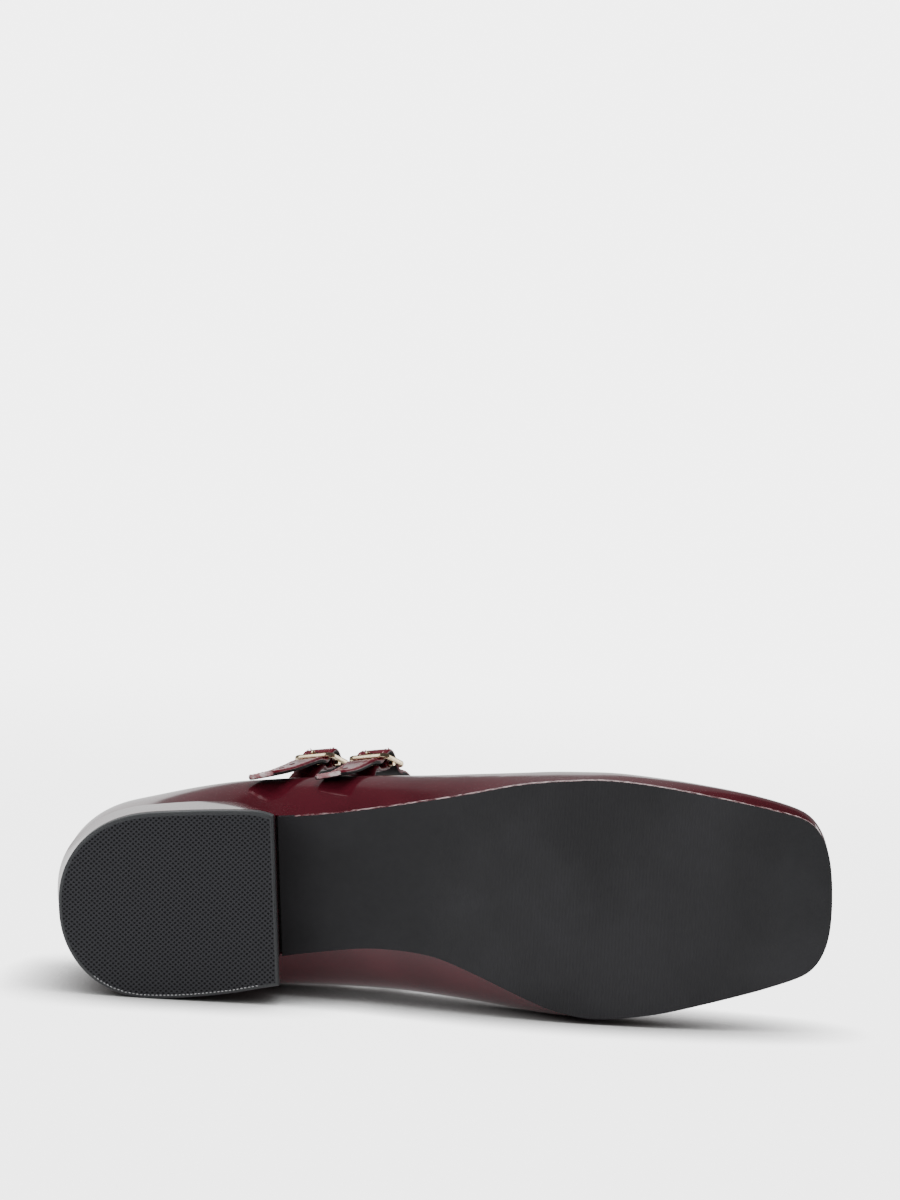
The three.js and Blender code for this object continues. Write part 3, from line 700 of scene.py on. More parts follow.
def finished(
    name: str,
    mesh: bmesh.types.BMesh,
    materials: Sequence[bpy.types.Material],
    sharp: float = 40.0,
    recalculate: bool = True,
) -> bpy.types.Object:
    """Turns a bmesh into a piece of the shoe.

    Args:
        name: the piece's name.
        mesh: its mesh, which is freed.
        materials: its finishes.
        sharp: the angle in degrees above which an edge stays sharp.
        recalculate: whether its faces are turned to point outwards.

    Returns:
        The piece, riding on the shoe's body.
    """
    if recalculate:
        bmesh.ops.recalc_face_normals(mesh, faces=mesh.faces)
    for face in mesh.faces:
        face.smooth = True
    limit = math.radians(sharp)
    for edge in mesh.edges:
        edge.smooth = len(edge.link_faces) == 2 and edge.calc_face_angle(0.0) < limit
    data = bpy.data.meshes.new(name)
    mesh.to_mesh(data)
    mesh.free()
    for material in materials:
        data.materials.append(material)
    piece = bpy.data.objects.new(name, data)
    bpy.context.scene.collection.objects.link(piece)
    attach(piece, "root")
    LOG.info("%s: %d faces", name, len(data.polygons))
    return piece


def merged_copy(node: bpy.types.Object) -> bmesh.types.BMesh:
    """A CAD node's shape as one joined mesh.

    Args:
        node: the CAD node.

    Returns:
        The joined mesh.
    """
    mesh = bmesh.new()
    mesh.from_mesh(node.data)
    bmesh.ops.remove_doubles(mesh, verts=mesh.verts, dist=JOINED)
    return mesh


def corner_line(start: bmesh.types.BMVert, ahead: Vector) -> list[Vector]:
    """Follows the edge along one corner of a CAD band, the sharpest edge of those that lead on.

    Args:
        start: the corner at the band's end.
        ahead: roughly the direction in which the band goes on.

    Returns:
        That corner of each of the band's sections.
    """
    vert = start
    line = [start.co.copy()]
    while True:
        ways = []
        for edge in vert.link_edges:
            other = edge.other_vert(vert)
            step = (other.co - vert.co).normalized()
            bend = edge.calc_face_angle(0.0)
            if bend > CORNER_BEND and step.dot(ahead) > LEADS_ON:
                ways.append((bend, step, other))
        if not ways:
            return line
        _, ahead, vert = max(ways, key=lambda way: way[0])
        line.append(vert.co.copy())


def band_route(node: bpy.types.Object, ahead: Vector, across: Vector) -> list[tuple[Vector, Vector]]:
    """Reads a CAD band's middle line off its corners, as far as its section stays whole.

    Args:
        node: the CAD band.
        ahead: roughly the direction away from its first end.
        across: roughly the direction of its width.

    Returns:
        The middle and the direction across of each section, from that end on.
    """
    mesh = merged_copy(node)
    mesh.normal_update()
    ends = sorted(mesh.verts, key=lambda vert: vert.co.dot(ahead))[:BAND_CORNERS]
    lines = sorted((corner_line(vert, ahead) for vert in ends), key=lambda line: line[0].dot(across))
    mesh.free()
    half = BAND_CORNERS // 2
    route = []
    for section in zip(*lines):
        near = sum(section[:half], Vector()) / half
        far = sum(section[half:], Vector()) / half
        route.append(((near + far) / 2, (far - near).normalized()))
    return route


def main_direction(faces: Sequence[bmesh.types.BMFace], towards: Vector) -> Vector:
    """The direction that most of some faces' area looks in or away from.

    Args:
        faces: flat faces.
        towards: the side that the result points to.

    Returns:
        The direction, one long.
    """
    largest = sorted(faces, key=lambda face: face.calc_area())[-LARGE_FACES:]

    def facing(face: bmesh.types.BMFace) -> float:
        """The area that looks the same way as a face."""
        return sum(other.calc_area() for other in faces if abs(other.normal.dot(face.normal)) > SAME_WAY)

    normal = max(largest, key=facing).normal
    return normal * math.copysign(1.0, normal.dot(towards))


def span(mesh: bmesh.types.BMesh, direction: Vector) -> tuple[float, float]:
    """The least and greatest distance of a mesh along a direction."""
    marks = [vert.co.dot(direction) for vert in mesh.verts]
    return min(marks), max(marks)


def quads_with_creases(mesh: bmesh.types.BMesh, corner: float = 50.0, stacked: Vector | None = None) -> None:
    """Joins a solid's triangles and keeps its corners sharp under a subdivision surface.

    Args:
        mesh: the solid's joined mesh.
        corner: the angle in degrees above which an edge is a corner.
        stacked: the direction that a rounded rim's rings are stacked in, which then stay in place.
    """
    bmesh.ops.join_triangles(
        mesh, faces=mesh.faces, cmp_seam=False, cmp_sharp=False,
        angle_face_threshold=math.radians(JOIN_FACES), angle_shape_threshold=math.radians(JOIN_SHAPE),
    )
    crease = mesh.edges.layers.float.new("crease_edge")
    for edge in mesh.edges:
        bend = math.degrees(edge.calc_face_angle(0.0))
        along = (edge.verts[1].co - edge.verts[0].co).normalized()
        ring = stacked is not None and bend > RING_BEND and abs(along.dot(stacked)) < LEVEL
        if ring or bend > corner:
            edge[crease] = 1.0


def ordered_loops(edges: Iterable[bmesh.types.BMEdge]) -> list[list[Vector]]:
    """Strings edges together.

    Args:
        edges: the edges of one or more loops, in any order.

    Returns:
        The points of each loop, with its first point again at its end.
    """
    loops = []
    left = dict.fromkeys(edges)
    while left:
        edge = next(iter(left))
        del left[edge]
        loop = [edge.verts[0], edge.verts[1]]
        while True:
            onward = [e for e in loop[-1].link_edges if e in left]
            if not onward:
                break
            del left[onward[0]]
            loop.append(onward[0].other_vert(loop[-1]))
        loops.append([v.co.copy() for v in loop])
    return loops


def subdivided(piece: bpy.types.Object, levels: int) -> None:
    """Smooths a piece with a subdivision surface.

    Args:
        piece: the piece to smooth.
        levels: how often it is divided.
    """
    smooth = piece.modifiers.new("smooth", "SUBSURF")
    smooth.levels = levels
    smooth.render_levels = levels


def softened(piece: bpy.types.Object, width: float, segments: int = 3, angle: float = 35.0) -> None:
    """Rounds the sharp edges of a piece.

    Args:
        piece: the piece to round.
        width: how wide the rounding is.
        segments: its steps.
        angle: the edges that turn by more than this are rounded, in degrees.
    """
    bevel = piece.modifiers.new("soft edges", "BEVEL")
    bevel.width = width
    bevel.segments = segments
    bevel.limit_method = "ANGLE"
    bevel.angle_limit = math.radians(angle)
    bevel.harden_normals = False


def add_stitches(
    mesh: bmesh.types.BMesh,
    stations: Sequence[Station],
    pitch: float,
    length: float,
    width: float,
) -> None:
    """Lays stitches along a route, each a small rounded thread.

    Args:
        mesh: the mesh that they are added to.
        stations: the route.
        pitch: from one stitch to the next.
        length: a stitch's length.
        width: its width.
    """
    walked = 0.0
    due = pitch / 2
    for a, b in zip(stations, stations[1:]):
        step = (b.place - a.place).length
        while step and walked + step >= due:
            share = (due - walked) / step
            out = a.out.lerp(b.out, share).normalized()
            along = (b.place - a.place).normalized()
            across = out.cross(along).normalized()
            turn = Matrix((across, along, across.cross(along))).transposed().to_4x4()
            size = Matrix.Diagonal((width, length, width * 0.8, 1.0))
            place = Matrix.Translation(a.place.lerp(b.place, share))
            bmesh.ops.create_uvsphere(
                mesh, u_segments=6, v_segments=5, radius=0.5,
                matrix=place @ turn @ size @ Matrix.Rotation(math.pi / 2, 4, "X"),
            )
            due += pitch
        walked += step


# The shoe's pieces
@dataclass
class Upper:
    """The hollow upper: patent outside, lining inside, a folded stitched topline."""

    wall: float = 1.7 * MM
    stitch_inset: float = 2.1 * MM
    stitch_pitch: float = 2.5 * MM
    stitch_length: float = 1.75 * MM
    stitch_width: float = 0.42 * MM
    edge_round: float = 0.45 * MM
    rim_bend: float = 50.0
    join_faces: float = 60.0
    join_shape: float = 85.0
    shortest_rim: int = 40
    levels: int = 2

    def outer_skin(self, node: bpy.types.Object) -> bmesh.types.BMesh:
        """Keeps the outer skin of the CAD upper.

        Args:
            node: the CAD upper.

        Returns:
            The skin, an open mesh of quads.
        """
        mesh = merged_copy(node)
        low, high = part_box("upper")
        bend = math.radians(self.rim_bend)
        rims = [e for e in mesh.edges if e.is_manifold and e.calc_face_angle(0.0) > bend]
        bmesh.ops.split_edges(mesh, edges=rims)
        mesh.faces.ensure_lookup_table()
        groups: list[list[bmesh.types.BMFace]] = []
        seen: set[bmesh.types.BMFace] = set()
        for start in mesh.faces:
            if start in seen:
                continue
            seen.add(start)
            todo = [start]
            group = []
            while todo:
                face = todo.pop()
                group.append(face)
                for edge in face.edges:
                    for other in edge.link_faces:
                        if other not in seen:
                            seen.add(other)
                            todo.append(other)
            groups.append(group)
        areas = [(sum(f.calc_area() for f in group), group) for group in groups]
        areas.sort(key=lambda pair: -pair[0])
        LOG.info("upper: %d shells, largest %s", len(areas), [round(a * 1e6) for a, _ in areas[:3]])
        middle = (low + high) / 2

        def opens_outwards(group: Iterable[bmesh.types.BMFace]) -> float:
            """How far a group's faces look away from the shoe's middle."""
            return sum((f.calc_center_median() - middle).dot(f.normal) * f.calc_area() for f in group)

        skin = set(max((group for _, group in areas[:2]), key=opens_outwards))
        bmesh.ops.delete(mesh, geom=[f for f in mesh.faces if f not in skin], context="FACES")
        bmesh.ops.join_triangles(
            mesh, faces=mesh.faces, cmp_seam=False, cmp_sharp=False,
            angle_face_threshold=math.radians(self.join_faces),
            angle_shape_threshold=math.radians(self.join_shape),
        )
        return mesh

    def build(self, node: bpy.types.Object, finishes: Finishes) -> None:
        """Makes the upper and its stitches.

        Args:
            node: the CAD upper.
            finishes: the materials.
        """
        mesh = self.outer_skin(node)
        upper = finished(
            "upper_leather", mesh, [finishes.patent, finishes.lining],
            NO_SHARP_EDGE, recalculate=False)
        subdivided(upper, self.levels)
        route = self.topline(upper)
        wall = upper.modifiers.new("wall", "SOLIDIFY")
        wall.thickness = self.wall
        wall.offset = -1.0
        wall.use_even_offset = True
        wall.material_offset = 1
        wall.material_offset_rim = 0
        softened(upper, self.edge_round, angle=50.0)
        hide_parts("upper")
        stitches = bmesh.new()
        add_stitches(stitches, route, self.stitch_pitch, self.stitch_length, self.stitch_width)
        finished("topline_stitches", stitches, [finishes.thread], NO_SHARP_EDGE)

    def topline(self, upper: bpy.types.Object) -> list[Station]:
        """The stitched line a little below the collar's edge.

        Args:
            upper: the upper's smoothed skin, still without its wall.

        Returns:
            Stations round the collar.
        """
        graph = bpy.context.evaluated_depsgraph_get()
        smooth = bmesh.new()
        smooth.from_object(upper, graph)
        tree = BVHTree.FromBMesh(smooth)
        loops = ordered_loops(e for e in smooth.edges if e.is_boundary)
        rims = [loop for loop in loops if len(loop) > self.shortest_rim]
        collar = max(rims, key=lambda loop: sum(p.y for p in loop) / len(loop))
        stations = []
        for k, place in enumerate(collar[:-1]):
            along = (collar[k + 1] - collar[k - 1 if k else -2]).normalized()
            _, normal, _, _ = tree.find_nearest(place)
            side = normal.cross(along).normalized()
            tries = []
            for sign in (1, -1):
                aim = place + side * sign * self.stitch_inset
                spot, out, _, away = tree.find_nearest(aim)
                tries.append((away, spot, out))
            _, spot, out = min(tries, key=lambda t: t[0])
            stations.append(Station(spot, side, out))
        smooth.free()
        return [*stations, stations[0]]


@dataclass
class Bottom:
    """Outsole, insole, heel block and top piece."""

    edge_round: float = 0.55 * MM
    bare_end: float = 4.5 * MM
    sock_round: float = 0.4 * MM
    sock_reach: float = 1.3 * MM
    side_share: float = 0.4
    flat_share: float = 0.985
    block_round: float = 0.6 * MM
    tip_round: float = 0.25 * MM
    ridge_top: float = 6.5 * MM
    ridge_pitch: float = 1.25 * MM
    ridge_length: float = 0.85 * MM
    ridge_width: float = 0.36 * MM

    def build(self, nodes: dict[str, bpy.types.Object], finishes: Finishes) -> None:
        """Makes the pieces under the foot.

        Args:
            nodes: the CAD nodes by name.
            finishes: the materials.
        """
        self.outsole(nodes["outsole"], finishes)
        self.insole(nodes["insole"], finishes)
        self.heel(nodes, finishes)

    def outsole(self, node: bpy.types.Object, finishes: Finishes) -> None:
        """Makes the black outsole with its painted edge.

        Args:
            node: the CAD's outsole.
            finishes: the shoe's finishes.
        """
        mesh = merged_copy(node)
        quads_with_creases(mesh)
        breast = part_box("outsole")[0].x + self.bare_end
        for face in mesh.faces:
            face.material_index = int(abs(face.normal.y) < 0.5 and face.calc_center_median().x > breast)
        sole = finished(
            "outsole_dressed", mesh, [finishes.tread, finishes.edge_paint], recalculate=False)
        subdivided(sole, 2)
        softened(sole, self.edge_round)
        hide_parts("outsole")

    def insole(self, node: bpy.types.Object, finishes: Finishes) -> None:
        """Makes the sock that lines the shoe's bottom.

        Args:
            node: the CAD's insole.
            finishes: the shoe's finishes.
        """
        mesh = merged_copy(node)
        mesh.normal_update()
        sides = [(v, Vector((v.normal.x, 0.0, v.normal.z))) for v in mesh.verts]
        for vert, side in sides:
            if side.length > self.side_share:
                vert.co += side.normalized() * self.sock_reach
        quads_with_creases(mesh)
        sock = finished("insole_sock", mesh, [finishes.lining], recalculate=False)
        subdivided(sock, 2)
        softened(sock, self.sock_round)
        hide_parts("insole")

    def heel(self, nodes: dict[str, bpy.types.Object], finishes: Finishes) -> None:
        """Makes the covered heel block and its rubber top piece.

        Args:
            nodes: the CAD's pieces by name.
            finishes: the shoe's finishes.
        """
        mesh = merged_copy(nodes["heel_block"])
        quads_with_creases(mesh)
        block = finished("heel_block_covered", mesh, [finishes.patent], recalculate=False)
        subdivided(block, 2)
        softened(block, self.block_round)
        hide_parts("heel_block")
        mesh = merged_copy(nodes["top_piece"])
        mesh.normal_update()
        ground = min(mesh.faces, key=lambda face: face.normal.y).normal.copy()
        # Faces off the ground face take the lighter side rubber, painted light on the top piece's sides.
        for face in mesh.faces:
            face.material_index = int(face.normal.dot(ground) < self.flat_share)
        self.ridges(mesh, ground, finishes)
        quads_with_creases(mesh, stacked=ground)
        rubbers = [finishes.rubber, finishes.rubber_side_lit]
        tip = finished("top_piece_rubber", mesh, rubbers, recalculate=False)
        subdivided(tip, 2)
        softened(tip, self.tip_round, segments=2)
        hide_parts("top_piece")

    def ridges(self, mesh: bmesh.types.BMesh, ground: Vector, finishes: Finishes) -> None:
        """Makes the pale ridges along the lower rim of the top piece, whose pale grey is a painted
        reflection of the floor.

        Args:
            mesh: the top piece, its ground face marked with the first material.
            ground: the direction that its ground face looks in.
            finishes: the materials.
        """
        rim = [e for e in mesh.edges if len({face.material_index for face in e.link_faces}) > 1]
        loop = max(ordered_loops(rim), key=len)[:-1]
        start = max(range(len(loop)), key=lambda k: loop[k].z)
        # Only the rim's lower part gets ridges, where the painted reflection of the floor shows.
        lower = [place for place in loop[start:] + loop[:start] if place.z < self.ridge_top]
        LOG.info("top piece: %d of %d rim points carry ridges", len(lower), len(loop))
        side = Vector((1.0, 0.0, 0.0))
        row = bmesh.new()
        stations = [Station(place, side, ground) for place in lower]
        add_stitches(row, stations, self.ridge_pitch, self.ridge_length, self.ridge_width)
        finished("top_piece_ridges", row, [finishes.ridge_reflection], NO_SHARP_EDGE)


@dataclass
class Strap:
    """One strap with its edge stitching, lining, holes and buckle."""

    side: Side
    hole_stations: tuple[int, ...] = (2, 4, 6, 14)
    width: float = 12.0 * MM
    thickness: float = 1.9 * MM
    stitch_pitch: float = 2.4 * MM
    stitch_length: float = 1.7 * MM
    stitch_width: float = 0.42 * MM
    stitch_sink: float = 0.05 * MM
    groove: float = 0.16 * MM
    lined_below: float = -0.1
    frame_length: float = 14.0 * MM
    frame_width: float = 15.4 * MM
    frame_bar: float = 1.5 * MM
    frame_depth: float = 1.7 * MM
    frame_corner: float = 2.8 * MM
    pin_radius: float = 0.75 * MM
    pin_drop: float = 1.2 * MM
    bar_round: float = 0.5 * MM
    prong_radius: float = 0.6 * MM
    prong_clear: float = 0.05 * MM
    prong_short: float = 0.2 * MM
    eye_gap: float = 0.25 * MM
    fit: float = 0.3 * MM
    tab_width: float = 9.6 * MM
    tab_thickness: float = 1.5 * MM
    tab_steps: int = 5
    rim_rise: Vector = field(default_factory=lambda: Vector((-0.12, 1.83, 4.47)) * MM)
    rim_foot: Vector = field(default_factory=lambda: Vector((0.15, 0.54, 0.0)) * MM)
    loop_share: float = 0.375
    loop_wall: float = 0.87 * MM
    loop_middle: float = 0.44 * MM
    hole_radius: float = 0.85 * MM
    hole_foot: float = 1.3
    hole_top: float = 1.15
    hole_rise: float = 0.3 * MM
    hole_lip: float = 0.2 * MM
    hole_sink: float = 0.18 * MM
    place: Vector = field(init=False)
    along: Vector = field(init=False)
    across: Vector = field(init=False)
    out: Vector = field(init=False)
    route: list[tuple[Vector, Vector]] = field(init=False)
    sewn: list[Vector] = field(init=False)

    def read_frame(self, nodes: dict[str, bpy.types.Object]) -> None:
        """Reads the buckle's place and directions and the leather's routes off the CAD nodes.

        Args:
            nodes: the CAD nodes by name.
        """
        mesh = merged_copy(nodes[f"buckle_frame_{self.side.value}"])
        mesh.normal_update()
        self.out = main_direction(mesh.faces[:], Vector((0.0, 0.0, 1.0)))
        rims = [face for face in mesh.faces if abs(face.normal.dot(self.out)) < SQUARE]
        self.along = main_direction(rims, Vector((0.0, 1.0, 0.0)))
        self.across = self.along.cross(self.out)
        top = span(mesh, self.out)[1]
        self.place = self.out * (top - self.frame_depth / 2)
        self.place += self.along * sum(span(mesh, self.along)) / 2
        self.place += self.across * sum(span(mesh, self.across)) / 2
        mesh.free()
        self.route = band_route(nodes[f"strap_{self.side.value}"], self.along, self.across)
        tab = band_route(nodes[f"buckle_strap_{self.side.value}"], self.along, self.across)
        self.sewn = [middle for middle, _ in tab]

    def stations(self) -> list[Station]:
        """The strap's route as stations, its tail a little slack and its loop over the pin full.

        Returns:
            The stations, in order.
        """
        places = [middle.copy() for middle, _ in self.route]
        for place, lift in zip(places, TAIL_LIFT):
            place.z += lift * MM
        return faced(places, [across for _, across in self.route])

    def build(self, nodes: dict[str, bpy.types.Object], finishes: Finishes) -> None:
        """Makes the strap, its stitches, tab and buckle.

        Args:
            nodes: the CAD's pieces by name.
            finishes: the shoe's finishes.
        """
        self.read_frame(nodes)
        self.leather(finishes)
        self.stitches(finishes)
        self.holes(finishes)
        self.tab_leather(finishes)
        self.buckle(finishes)
        self.prong(finishes)

    def leather(self, finishes: Finishes) -> None:
        """Makes the strap itself.

        Args:
            finishes: the shoe's finishes.
        """
        mesh = bmesh.new()
        stations = self.stations()
        sweep(mesh, rounded_band(self.width, self.thickness, self.groove), stations)
        places = [station.place for station in stations]
        for face in mesh.faces:
            centre = face.calc_center_median()
            near = min(range(len(places)), key=lambda k: (places[k] - centre).length_squared)
            depth = (centre - places[near]).dot(stations[near].out)
            face.material_index = int(depth < self.lined_below * self.thickness)
            # Faces with more than four corners are the strap's ends, which take the cut edge's painted
            # highlight.
            if len(face.verts) > 4:
                face.material_index = 2
        leathers = [finishes.strap_patent, finishes.lining, finishes.cut_edge_highlight]
        strap = finished(f"strap_{self.side.value}_leather", mesh, leathers, 60.0)
        subdivided(strap, 1)
        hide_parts(f"strap_{self.side.value}")

    def stitches(self, finishes: Finishes) -> None:
        """Makes the two rows of stitches along the strap.

        Args:
            finishes: the shoe's finishes.
        """
        mesh = bmesh.new()
        stations = self.stations()
        inset = self.width / 2 - SEAM_INSET
        for sign in (-1, 1):
            row = [s.moved(sign * inset, self.thickness / 2 - self.stitch_sink) for s in stations]
            add_stitches(mesh, row, self.stitch_pitch, self.stitch_length, self.stitch_width)
        finished(f"strap_{self.side.value}_stitches", mesh, [finishes.strap_thread], NO_SHARP_EDGE)

    def holes(self, finishes: Finishes) -> None:
        """Makes the punched holes, each a cup with a pressed rim whose sunk middle is near-black as painted
        shade.

        Args:
            finishes: the shoe's finishes.
        """
        mesh = bmesh.new()
        stations = self.stations()
        upright = Matrix.Rotation(-math.pi / 2, 4, "X")
        for k in self.hole_stations:
            on_top = stations[k].moved(0.0, self.thickness / 2)
            made = bmesh.ops.create_cone(
                mesh, cap_ends=True, segments=20, radius1=self.hole_radius * self.hole_foot,
                radius2=self.hole_radius * self.hole_top, depth=self.hole_rise,
                matrix=on_top.matrix() @ upright)
            caps = {f for v in made["verts"] for f in v.link_faces if len(f.verts) > 4}
            top = max(caps, key=lambda f: f.calc_center_median().dot(on_top.out))
            rim = bmesh.ops.inset_region(
                mesh, faces=[top], thickness=self.hole_lip, depth=-self.hole_sink)
            # The sunk middle and its walls take the near-black painted shade.
            for face in (top, *rim["faces"]):
                face.material_index = 1
        name = f"strap_{self.side.value}_holes"
        finished(name, mesh, [finishes.strap_patent, finishes.hole_shade], 40.0)

    def frame_matrix(self) -> Matrix:
        """Turns a shape drawn with x along the strap, y across and z outwards."""
        turn = Matrix((self.along, -self.across, self.out)).transposed().to_4x4()
        return Matrix.Translation(self.place) @ turn

    def ring_route(self, length: float, width: float, corner: float) -> list[Station]:
        """Stations round the buckle's frame.

        Args:
            length: the size along the strap.
            width: the size across it.
            corner: the corners' radius.

        Returns:
            The stations, in order.
        """
        matrix = self.frame_matrix()
        turn = matrix.to_3x3()
        stations = []
        outline = soft_square(length, width, corner, 6)
        for k, (x, y) in enumerate(outline):
            before = Vector((*outline[k - 1], 0.0))
            after = Vector((*outline[(k + 1) % len(outline)], 0.0))
            ahead = (after - before).normalized()
            side = Vector((ahead.y, -ahead.x, 0.0))
            stations.append(Station(matrix @ Vector((x, y, 0.0)), turn @ side, turn @ Vector((0, 0, 1))))
        return stations

    def buckle(self, finishes: Finishes) -> None:
        """Makes the gold frame with its pin.

        Args:
            finishes: the shoe's finishes.
        """
        mesh = bmesh.new()
        section = soft_square(self.frame_bar, self.frame_depth, self.bar_round)
        ring = self.ring_route(
            self.frame_length - self.frame_bar, self.frame_width - self.frame_bar,
            self.frame_corner - self.frame_bar / 2)
        sweep(mesh, section, ring, closed=True)
        pin = Matrix.Translation((0, 0, -self.pin_drop)) @ Matrix.Rotation(math.pi / 2, 4, "X")
        bmesh.ops.create_cone(
            mesh, cap_ends=True, segments=24, radius1=self.pin_radius, radius2=self.pin_radius,
            depth=self.frame_width - self.frame_bar, matrix=self.frame_matrix() @ pin)
        frame = finished(f"buckle_frame_{self.side.value}_gold", mesh, [finishes.gold], 50.0)
        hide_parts(f"buckle_frame_{self.side.value}")

    def prong(self, finishes: Finishes) -> None:
        """Makes the prong: an open eye round the pin and a point that rests on the bar.

        Args:
            finishes: the shoe's finishes.
        """
        ring = self.pin_radius + self.eye_gap + self.prong_radius
        rest = self.frame_depth / 2 + self.prong_clear + self.prong_radius
        eye_top = ring - self.pin_drop
        reach = self.frame_length / 2 - self.prong_short
        path = []
        for turn in range(-190, 81, 18):
            angle = math.radians(turn)
            path.append(Vector((ring * math.cos(angle), 0.0, ring * math.sin(angle) - self.pin_drop)))
        for share in (0.12, 0.25, 0.4, 0.55, 0.7, 0.85, 1.0):
            rise = share * share * (3 - 2 * share)
            path.append(Vector((-share * reach, 0.0, eye_top + (rest - eye_top) * rise)))
        matrix = self.frame_matrix()
        places = [matrix @ point for point in path]
        mesh = bmesh.new()
        sweep(mesh, round_section(self.prong_radius), faced(places, [self.across] * len(places)))
        prong = finished(f"buckle_prong_{self.side.value}_gold", mesh, [finishes.gold], 60.0)
        softened(prong, 0.3 * MM, 3, 60.0)
        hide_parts(f"buckle_prong_{self.side.value}")

    def tab_route(self) -> list[Vector]:
        """Points from under the pin, over the collar's rim, to the end sewn inside it.

        Returns:
            The points, in order.
        """
        under_pin = ((-0.635, -2.85), (-4.2, -4.1), (-7.0, -4.475))
        points = [self.place + (self.along * back + self.out * lift) * MM for back, lift in under_pin]
        inner = self.sewn[-1]
        points += [inner + self.rim_rise, inner + self.rim_foot]
        return [*points, (self.sewn[2] + self.sewn[3]) / 2, self.sewn[0]]

    def tab_leather(self, finishes: Finishes) -> None:
        """Makes the tab that is sewn inside the collar and holds the buckle's pin.

        Args:
            finishes: the shoe's finishes.
        """
        mesh = bmesh.new()
        places = smooth_route(self.tab_route(), self.tab_steps)
        stations = faced(places, [self.across] * len(places))
        sweep(mesh, rounded_band(self.tab_width, self.tab_thickness), stations)
        radius = self.pin_radius + self.fit * 0.6 + self.loop_middle
        aside = (1 - self.loop_share) / 2 * self.tab_width
        section = soft_square(self.tab_width * self.loop_share, self.loop_wall, 0.3 * MM)
        middle = self.place - self.out * self.pin_drop
        for sign in (-1, 1):
            centre = middle + self.across * sign * aside
            loop = []
            for k in range(24):
                turn = 2 * math.pi * k / 24
                arm = self.along * math.cos(turn) + self.out * math.sin(turn)
                loop.append(Station(centre + arm * radius, self.across, arm))
            sweep(mesh, section, loop, closed=True)
        tab = finished(
            f"buckle_strap_{self.side.value}_leather", mesh, [finishes.strap_patent], 60.0)
        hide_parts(f"buckle_strap_{self.side.value}")


def smooth_route(points: Sequence[Vector], steps: int) -> list[Vector]:
    """A smooth route through a few points.

    Args:
        points: the points that it passes.
        steps: how many pieces each span is cut into.

    Returns:
        The points along it.
    """
    route = []
    last = len(points) - 1
    for k in range(last):
        before, a, b, after = (points[min(max(k + j, 0), last)] for j in (-1, 0, 1, 2))
        for step in range(steps):
            t = step / steps
            route.append(0.5 * (
                2 * a + (b - before) * t + (2 * before - 5 * a + 4 * b - after) * t ** 2
                + (3 * a - before - 3 * b + after) * t ** 3
            ))
    return [*route, points[-1].copy()]


# Studio
@dataclass(frozen=True)
class SoftLight:
    """A rectangular light that points at the shoe."""

    name: str
    at: tuple[float, float, float]
    size: tuple[float, float]
    power: float
    mirrored: bool = False


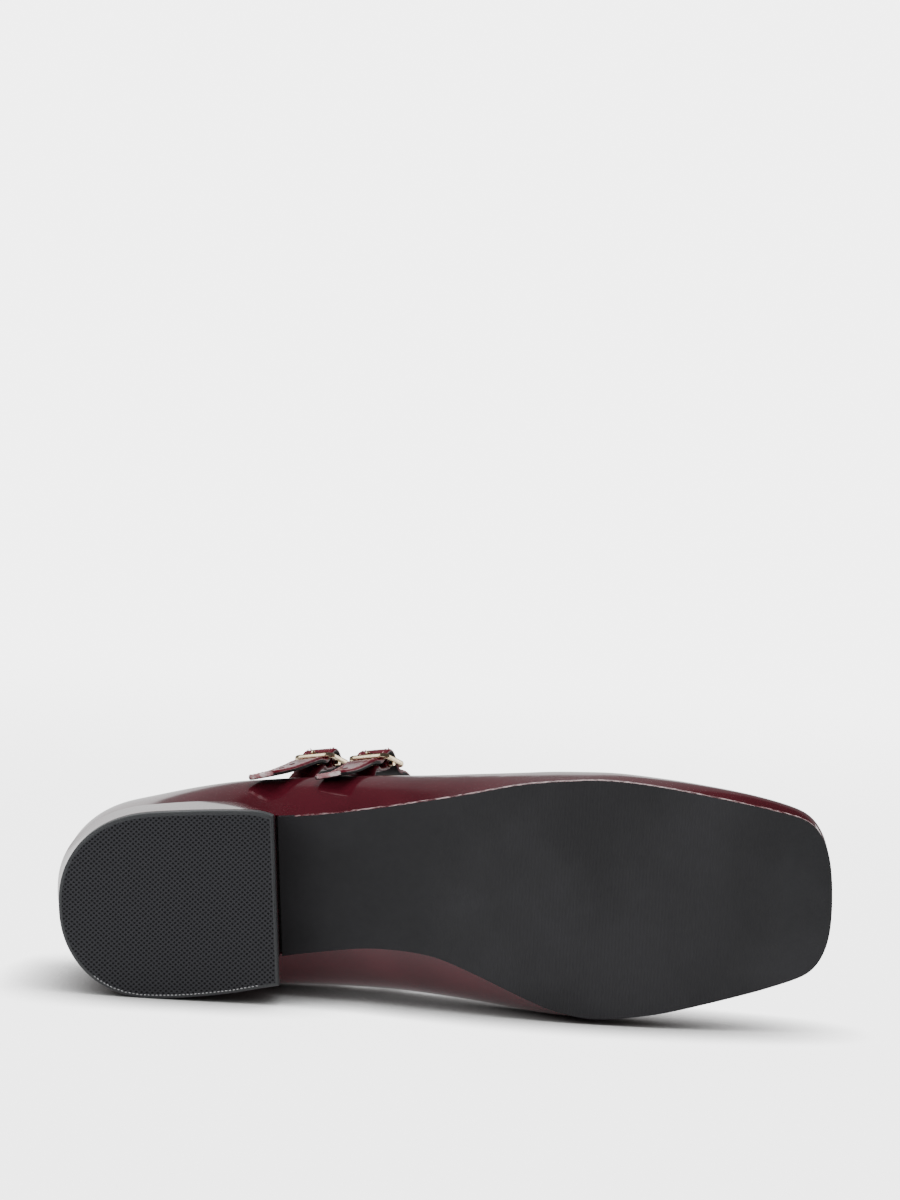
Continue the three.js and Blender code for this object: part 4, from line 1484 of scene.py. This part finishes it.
@dataclass
class Studio:
    """Plain pale floor, soft lights and the camera."""

    lights: tuple[SoftLight, ...] = (
        SoftLight("back", (-0.1, 1.3, 1.1), (2.4, 0.8), 30.0),
        SoftLight("overhead", (0.1, 0.0, 1.7), (1.6, 1.0), 22.0),
        SoftLight("front", (-0.5, -1.9, 1.0), (1.4, 0.9), 15.0),
        SoftLight("left", (-0.96, -0.40, 0.62), (0.6, 0.6), 2.5, mirrored=True),
        SoftLight("right", (0.98, 0.67, 0.24), (0.5, 0.4), 1.6, mirrored=True),
    )
    aim: Vector = field(default_factory=lambda: Vector((0.0, 0.0, 0.04)))

    floor_radius: float = 30.0
    floor_tone: Colour = (0.82, 0.82, 0.82)
    glow_share: float = 0.75
    pale: float = 5.0
    floor_mirrored: float = 1.25
    shadow_reach: float = 0.03
    shadow_depth: float = 3.4
    dim: float = 0.07
    steps: tuple[tuple[float, float, float], ...] = ((0.55, 0.66, 0.14), (0.925, 0.955, 0.8))
    fade_from: float = 0.45
    fade_to: float = 1.6
    camera_at: Vector = field(default_factory=lambda: Vector((-7.17, -1254.21, 191.94)) * MM)
    look_at: Vector = field(default_factory=lambda: Vector((-3.75, -50.24, 134.60)) * MM)
    up: Vector = field(default_factory=lambda: Vector((-0.0602, -0.0467, 0.9971)))
    focal_pixels: float = 3775.0
    frame_pixels: float = 900.0
    sensor: float = 36.0
    sight: float = 100.0

    def build(self) -> None:
        """Makes the floor, the lights, the surroundings and the camera."""
        self.floor()
        self.surroundings()
        for soft in self.lights:
            self.hang(soft)
        self.camera()

    def floor(self) -> None:
        """Makes the pale floor."""
        mesh = bmesh.new()
        bmesh.ops.create_circle(mesh, cap_ends=True, segments=96, radius=self.floor_radius)
        shader = Shader("floor")
        x, y, _ = shader.parts(shader.point())
        far = (x * x + y * y).math("SQRT").ramp(self.fade_from, self.fade_to)
        matt = shader.node("ShaderNodeBsdfDiffuse", {}, {"Color": (*self.floor_tone, 1)})
        seen = shader.node("ShaderNodeLightPath", {}, {})
        open_sky = shader.node(
            "ShaderNodeAmbientOcclusion", {"samples": 6}, {"Distance": self.shadow_reach}, output=1)
        mirrored = open_sky * self.floor_mirrored
        tone = mirrored + seen * (open_sky ** self.shadow_depth * self.pale - mirrored)
        glow = shader.node("ShaderNodeEmission", {}, {"Color": (1, 1, 1, 1), "Strength": tone})
        glowing = far * (1 - self.glow_share) + self.glow_share
        both = shader.node("ShaderNodeMixShader", {}, {0: glowing, 1: matt, 2: glow})
        end = shader.tree.nodes.new("ShaderNodeOutputMaterial")
        shader.tree.links.new(both.socket, end.inputs["Surface"])
        data = bpy.data.meshes.new("floor")
        mesh.to_mesh(data)
        mesh.free()
        data.materials.append(shader.material)
        floor = bpy.data.objects.new("floor", data)
        bpy.context.scene.collection.objects.link(floor)

    def surroundings(self) -> None:
        """Lights the room, dim round the camera and bright in two steps behind the shoe."""
        world = bpy.data.worlds.new("studio")
        world.use_nodes = True
        bpy.context.scene.world = world
        tree = world.node_tree
        tree.nodes.clear()
        place = tree.nodes.new("ShaderNodeTexCoord")
        split = tree.nodes.new("ShaderNodeSeparateXYZ")
        tree.links.new(place.outputs["Generated"], split.inputs[0])
        glow = None
        for dark_until, bright_from, gain in self.steps:
            shade = tree.nodes.new("ShaderNodeMapRange")
            shade.interpolation_type = "SMOOTHSTEP"
            shade.inputs["From Min"].default_value = dark_until
            shade.inputs["From Max"].default_value = bright_from
            shade.inputs["To Max"].default_value = gain
            tree.links.new(split.outputs[1], shade.inputs["Value"])
            total = tree.nodes.new("ShaderNodeMath")
            total.inputs[0].default_value = self.dim
            if glow:
                tree.links.new(glow, total.inputs[0])
            tree.links.new(shade.outputs[0], total.inputs[1])
            glow = total.outputs[0]
        path = tree.nodes.new("ShaderNodeLightPath")
        seen = tree.nodes.new("ShaderNodeMix")
        seen.data_type = "FLOAT"
        tree.links.new(path.outputs["Is Camera Ray"], seen.inputs["Factor"])
        tree.links.new(glow, seen.inputs[2])
        seen.inputs[3].default_value = self.pale
        back = tree.nodes.new("ShaderNodeBackground")
        tree.links.new(seen.outputs[0], back.inputs["Color"])
        end = tree.nodes.new("ShaderNodeOutputWorld")
        tree.links.new(back.outputs[0], end.inputs["Surface"])

    def hang(self, soft: SoftLight) -> None:
        """Adds one soft light.

        Args:
            soft: where it hangs, its size, its power in watts and whether gloss mirrors it.
        """
        light = bpy.data.lights.new(soft.name, "AREA")
        light.shape = "RECTANGLE"
        light.size, light.size_y = soft.size
        light.energy = soft.power
        lamp = bpy.data.objects.new(soft.name, light)
        at = Vector(soft.at)
        lamp.location = at
        lamp.rotation_euler = (self.aim - at).to_track_quat("-Z", "Y").to_euler()
        lamp.visible_glossy = soft.mirrored
        bpy.context.scene.collection.objects.link(lamp)

    def camera(self) -> None:
        """Places the camera at the photograph's angle to the shoe."""
        ahead = (self.look_at - self.camera_at).normalized()
        side = ahead.cross(self.up).normalized()
        over = side.cross(ahead)
        turn = Matrix((side, over, -ahead)).transposed().to_4x4()
        data = bpy.data.cameras.new("camera")
        data.sensor_fit = "HORIZONTAL"
        data.sensor_width = self.sensor
        data.lens = data.sensor_width * self.focal_pixels / self.frame_pixels
        data.clip_end = self.sight
        camera = bpy.data.objects.new("camera", data)
        camera.matrix_world = Matrix.Translation(self.camera_at) @ turn
        bpy.context.scene.collection.objects.link(camera)
        bpy.context.scene.camera = camera


def main() -> None:
    """Builds the dressed shoe and its studio."""
    logging.basicConfig(level=logging.INFO, format="%(name)s %(message)s")
    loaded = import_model()
    nodes = loaded["nodes"]
    finishes = Finishes()
    Upper().build(nodes["upper"], finishes)
    Bottom().build(nodes, finishes)
    for strap in (Strap(Side.REAR), Strap(Side.FRONT, hole_stations=(2, 5, 14))):
        strap.build(nodes, finishes)
    Studio().build()
    bpy.context.view_layer.update()


if __name__ == "__main__":
    main()
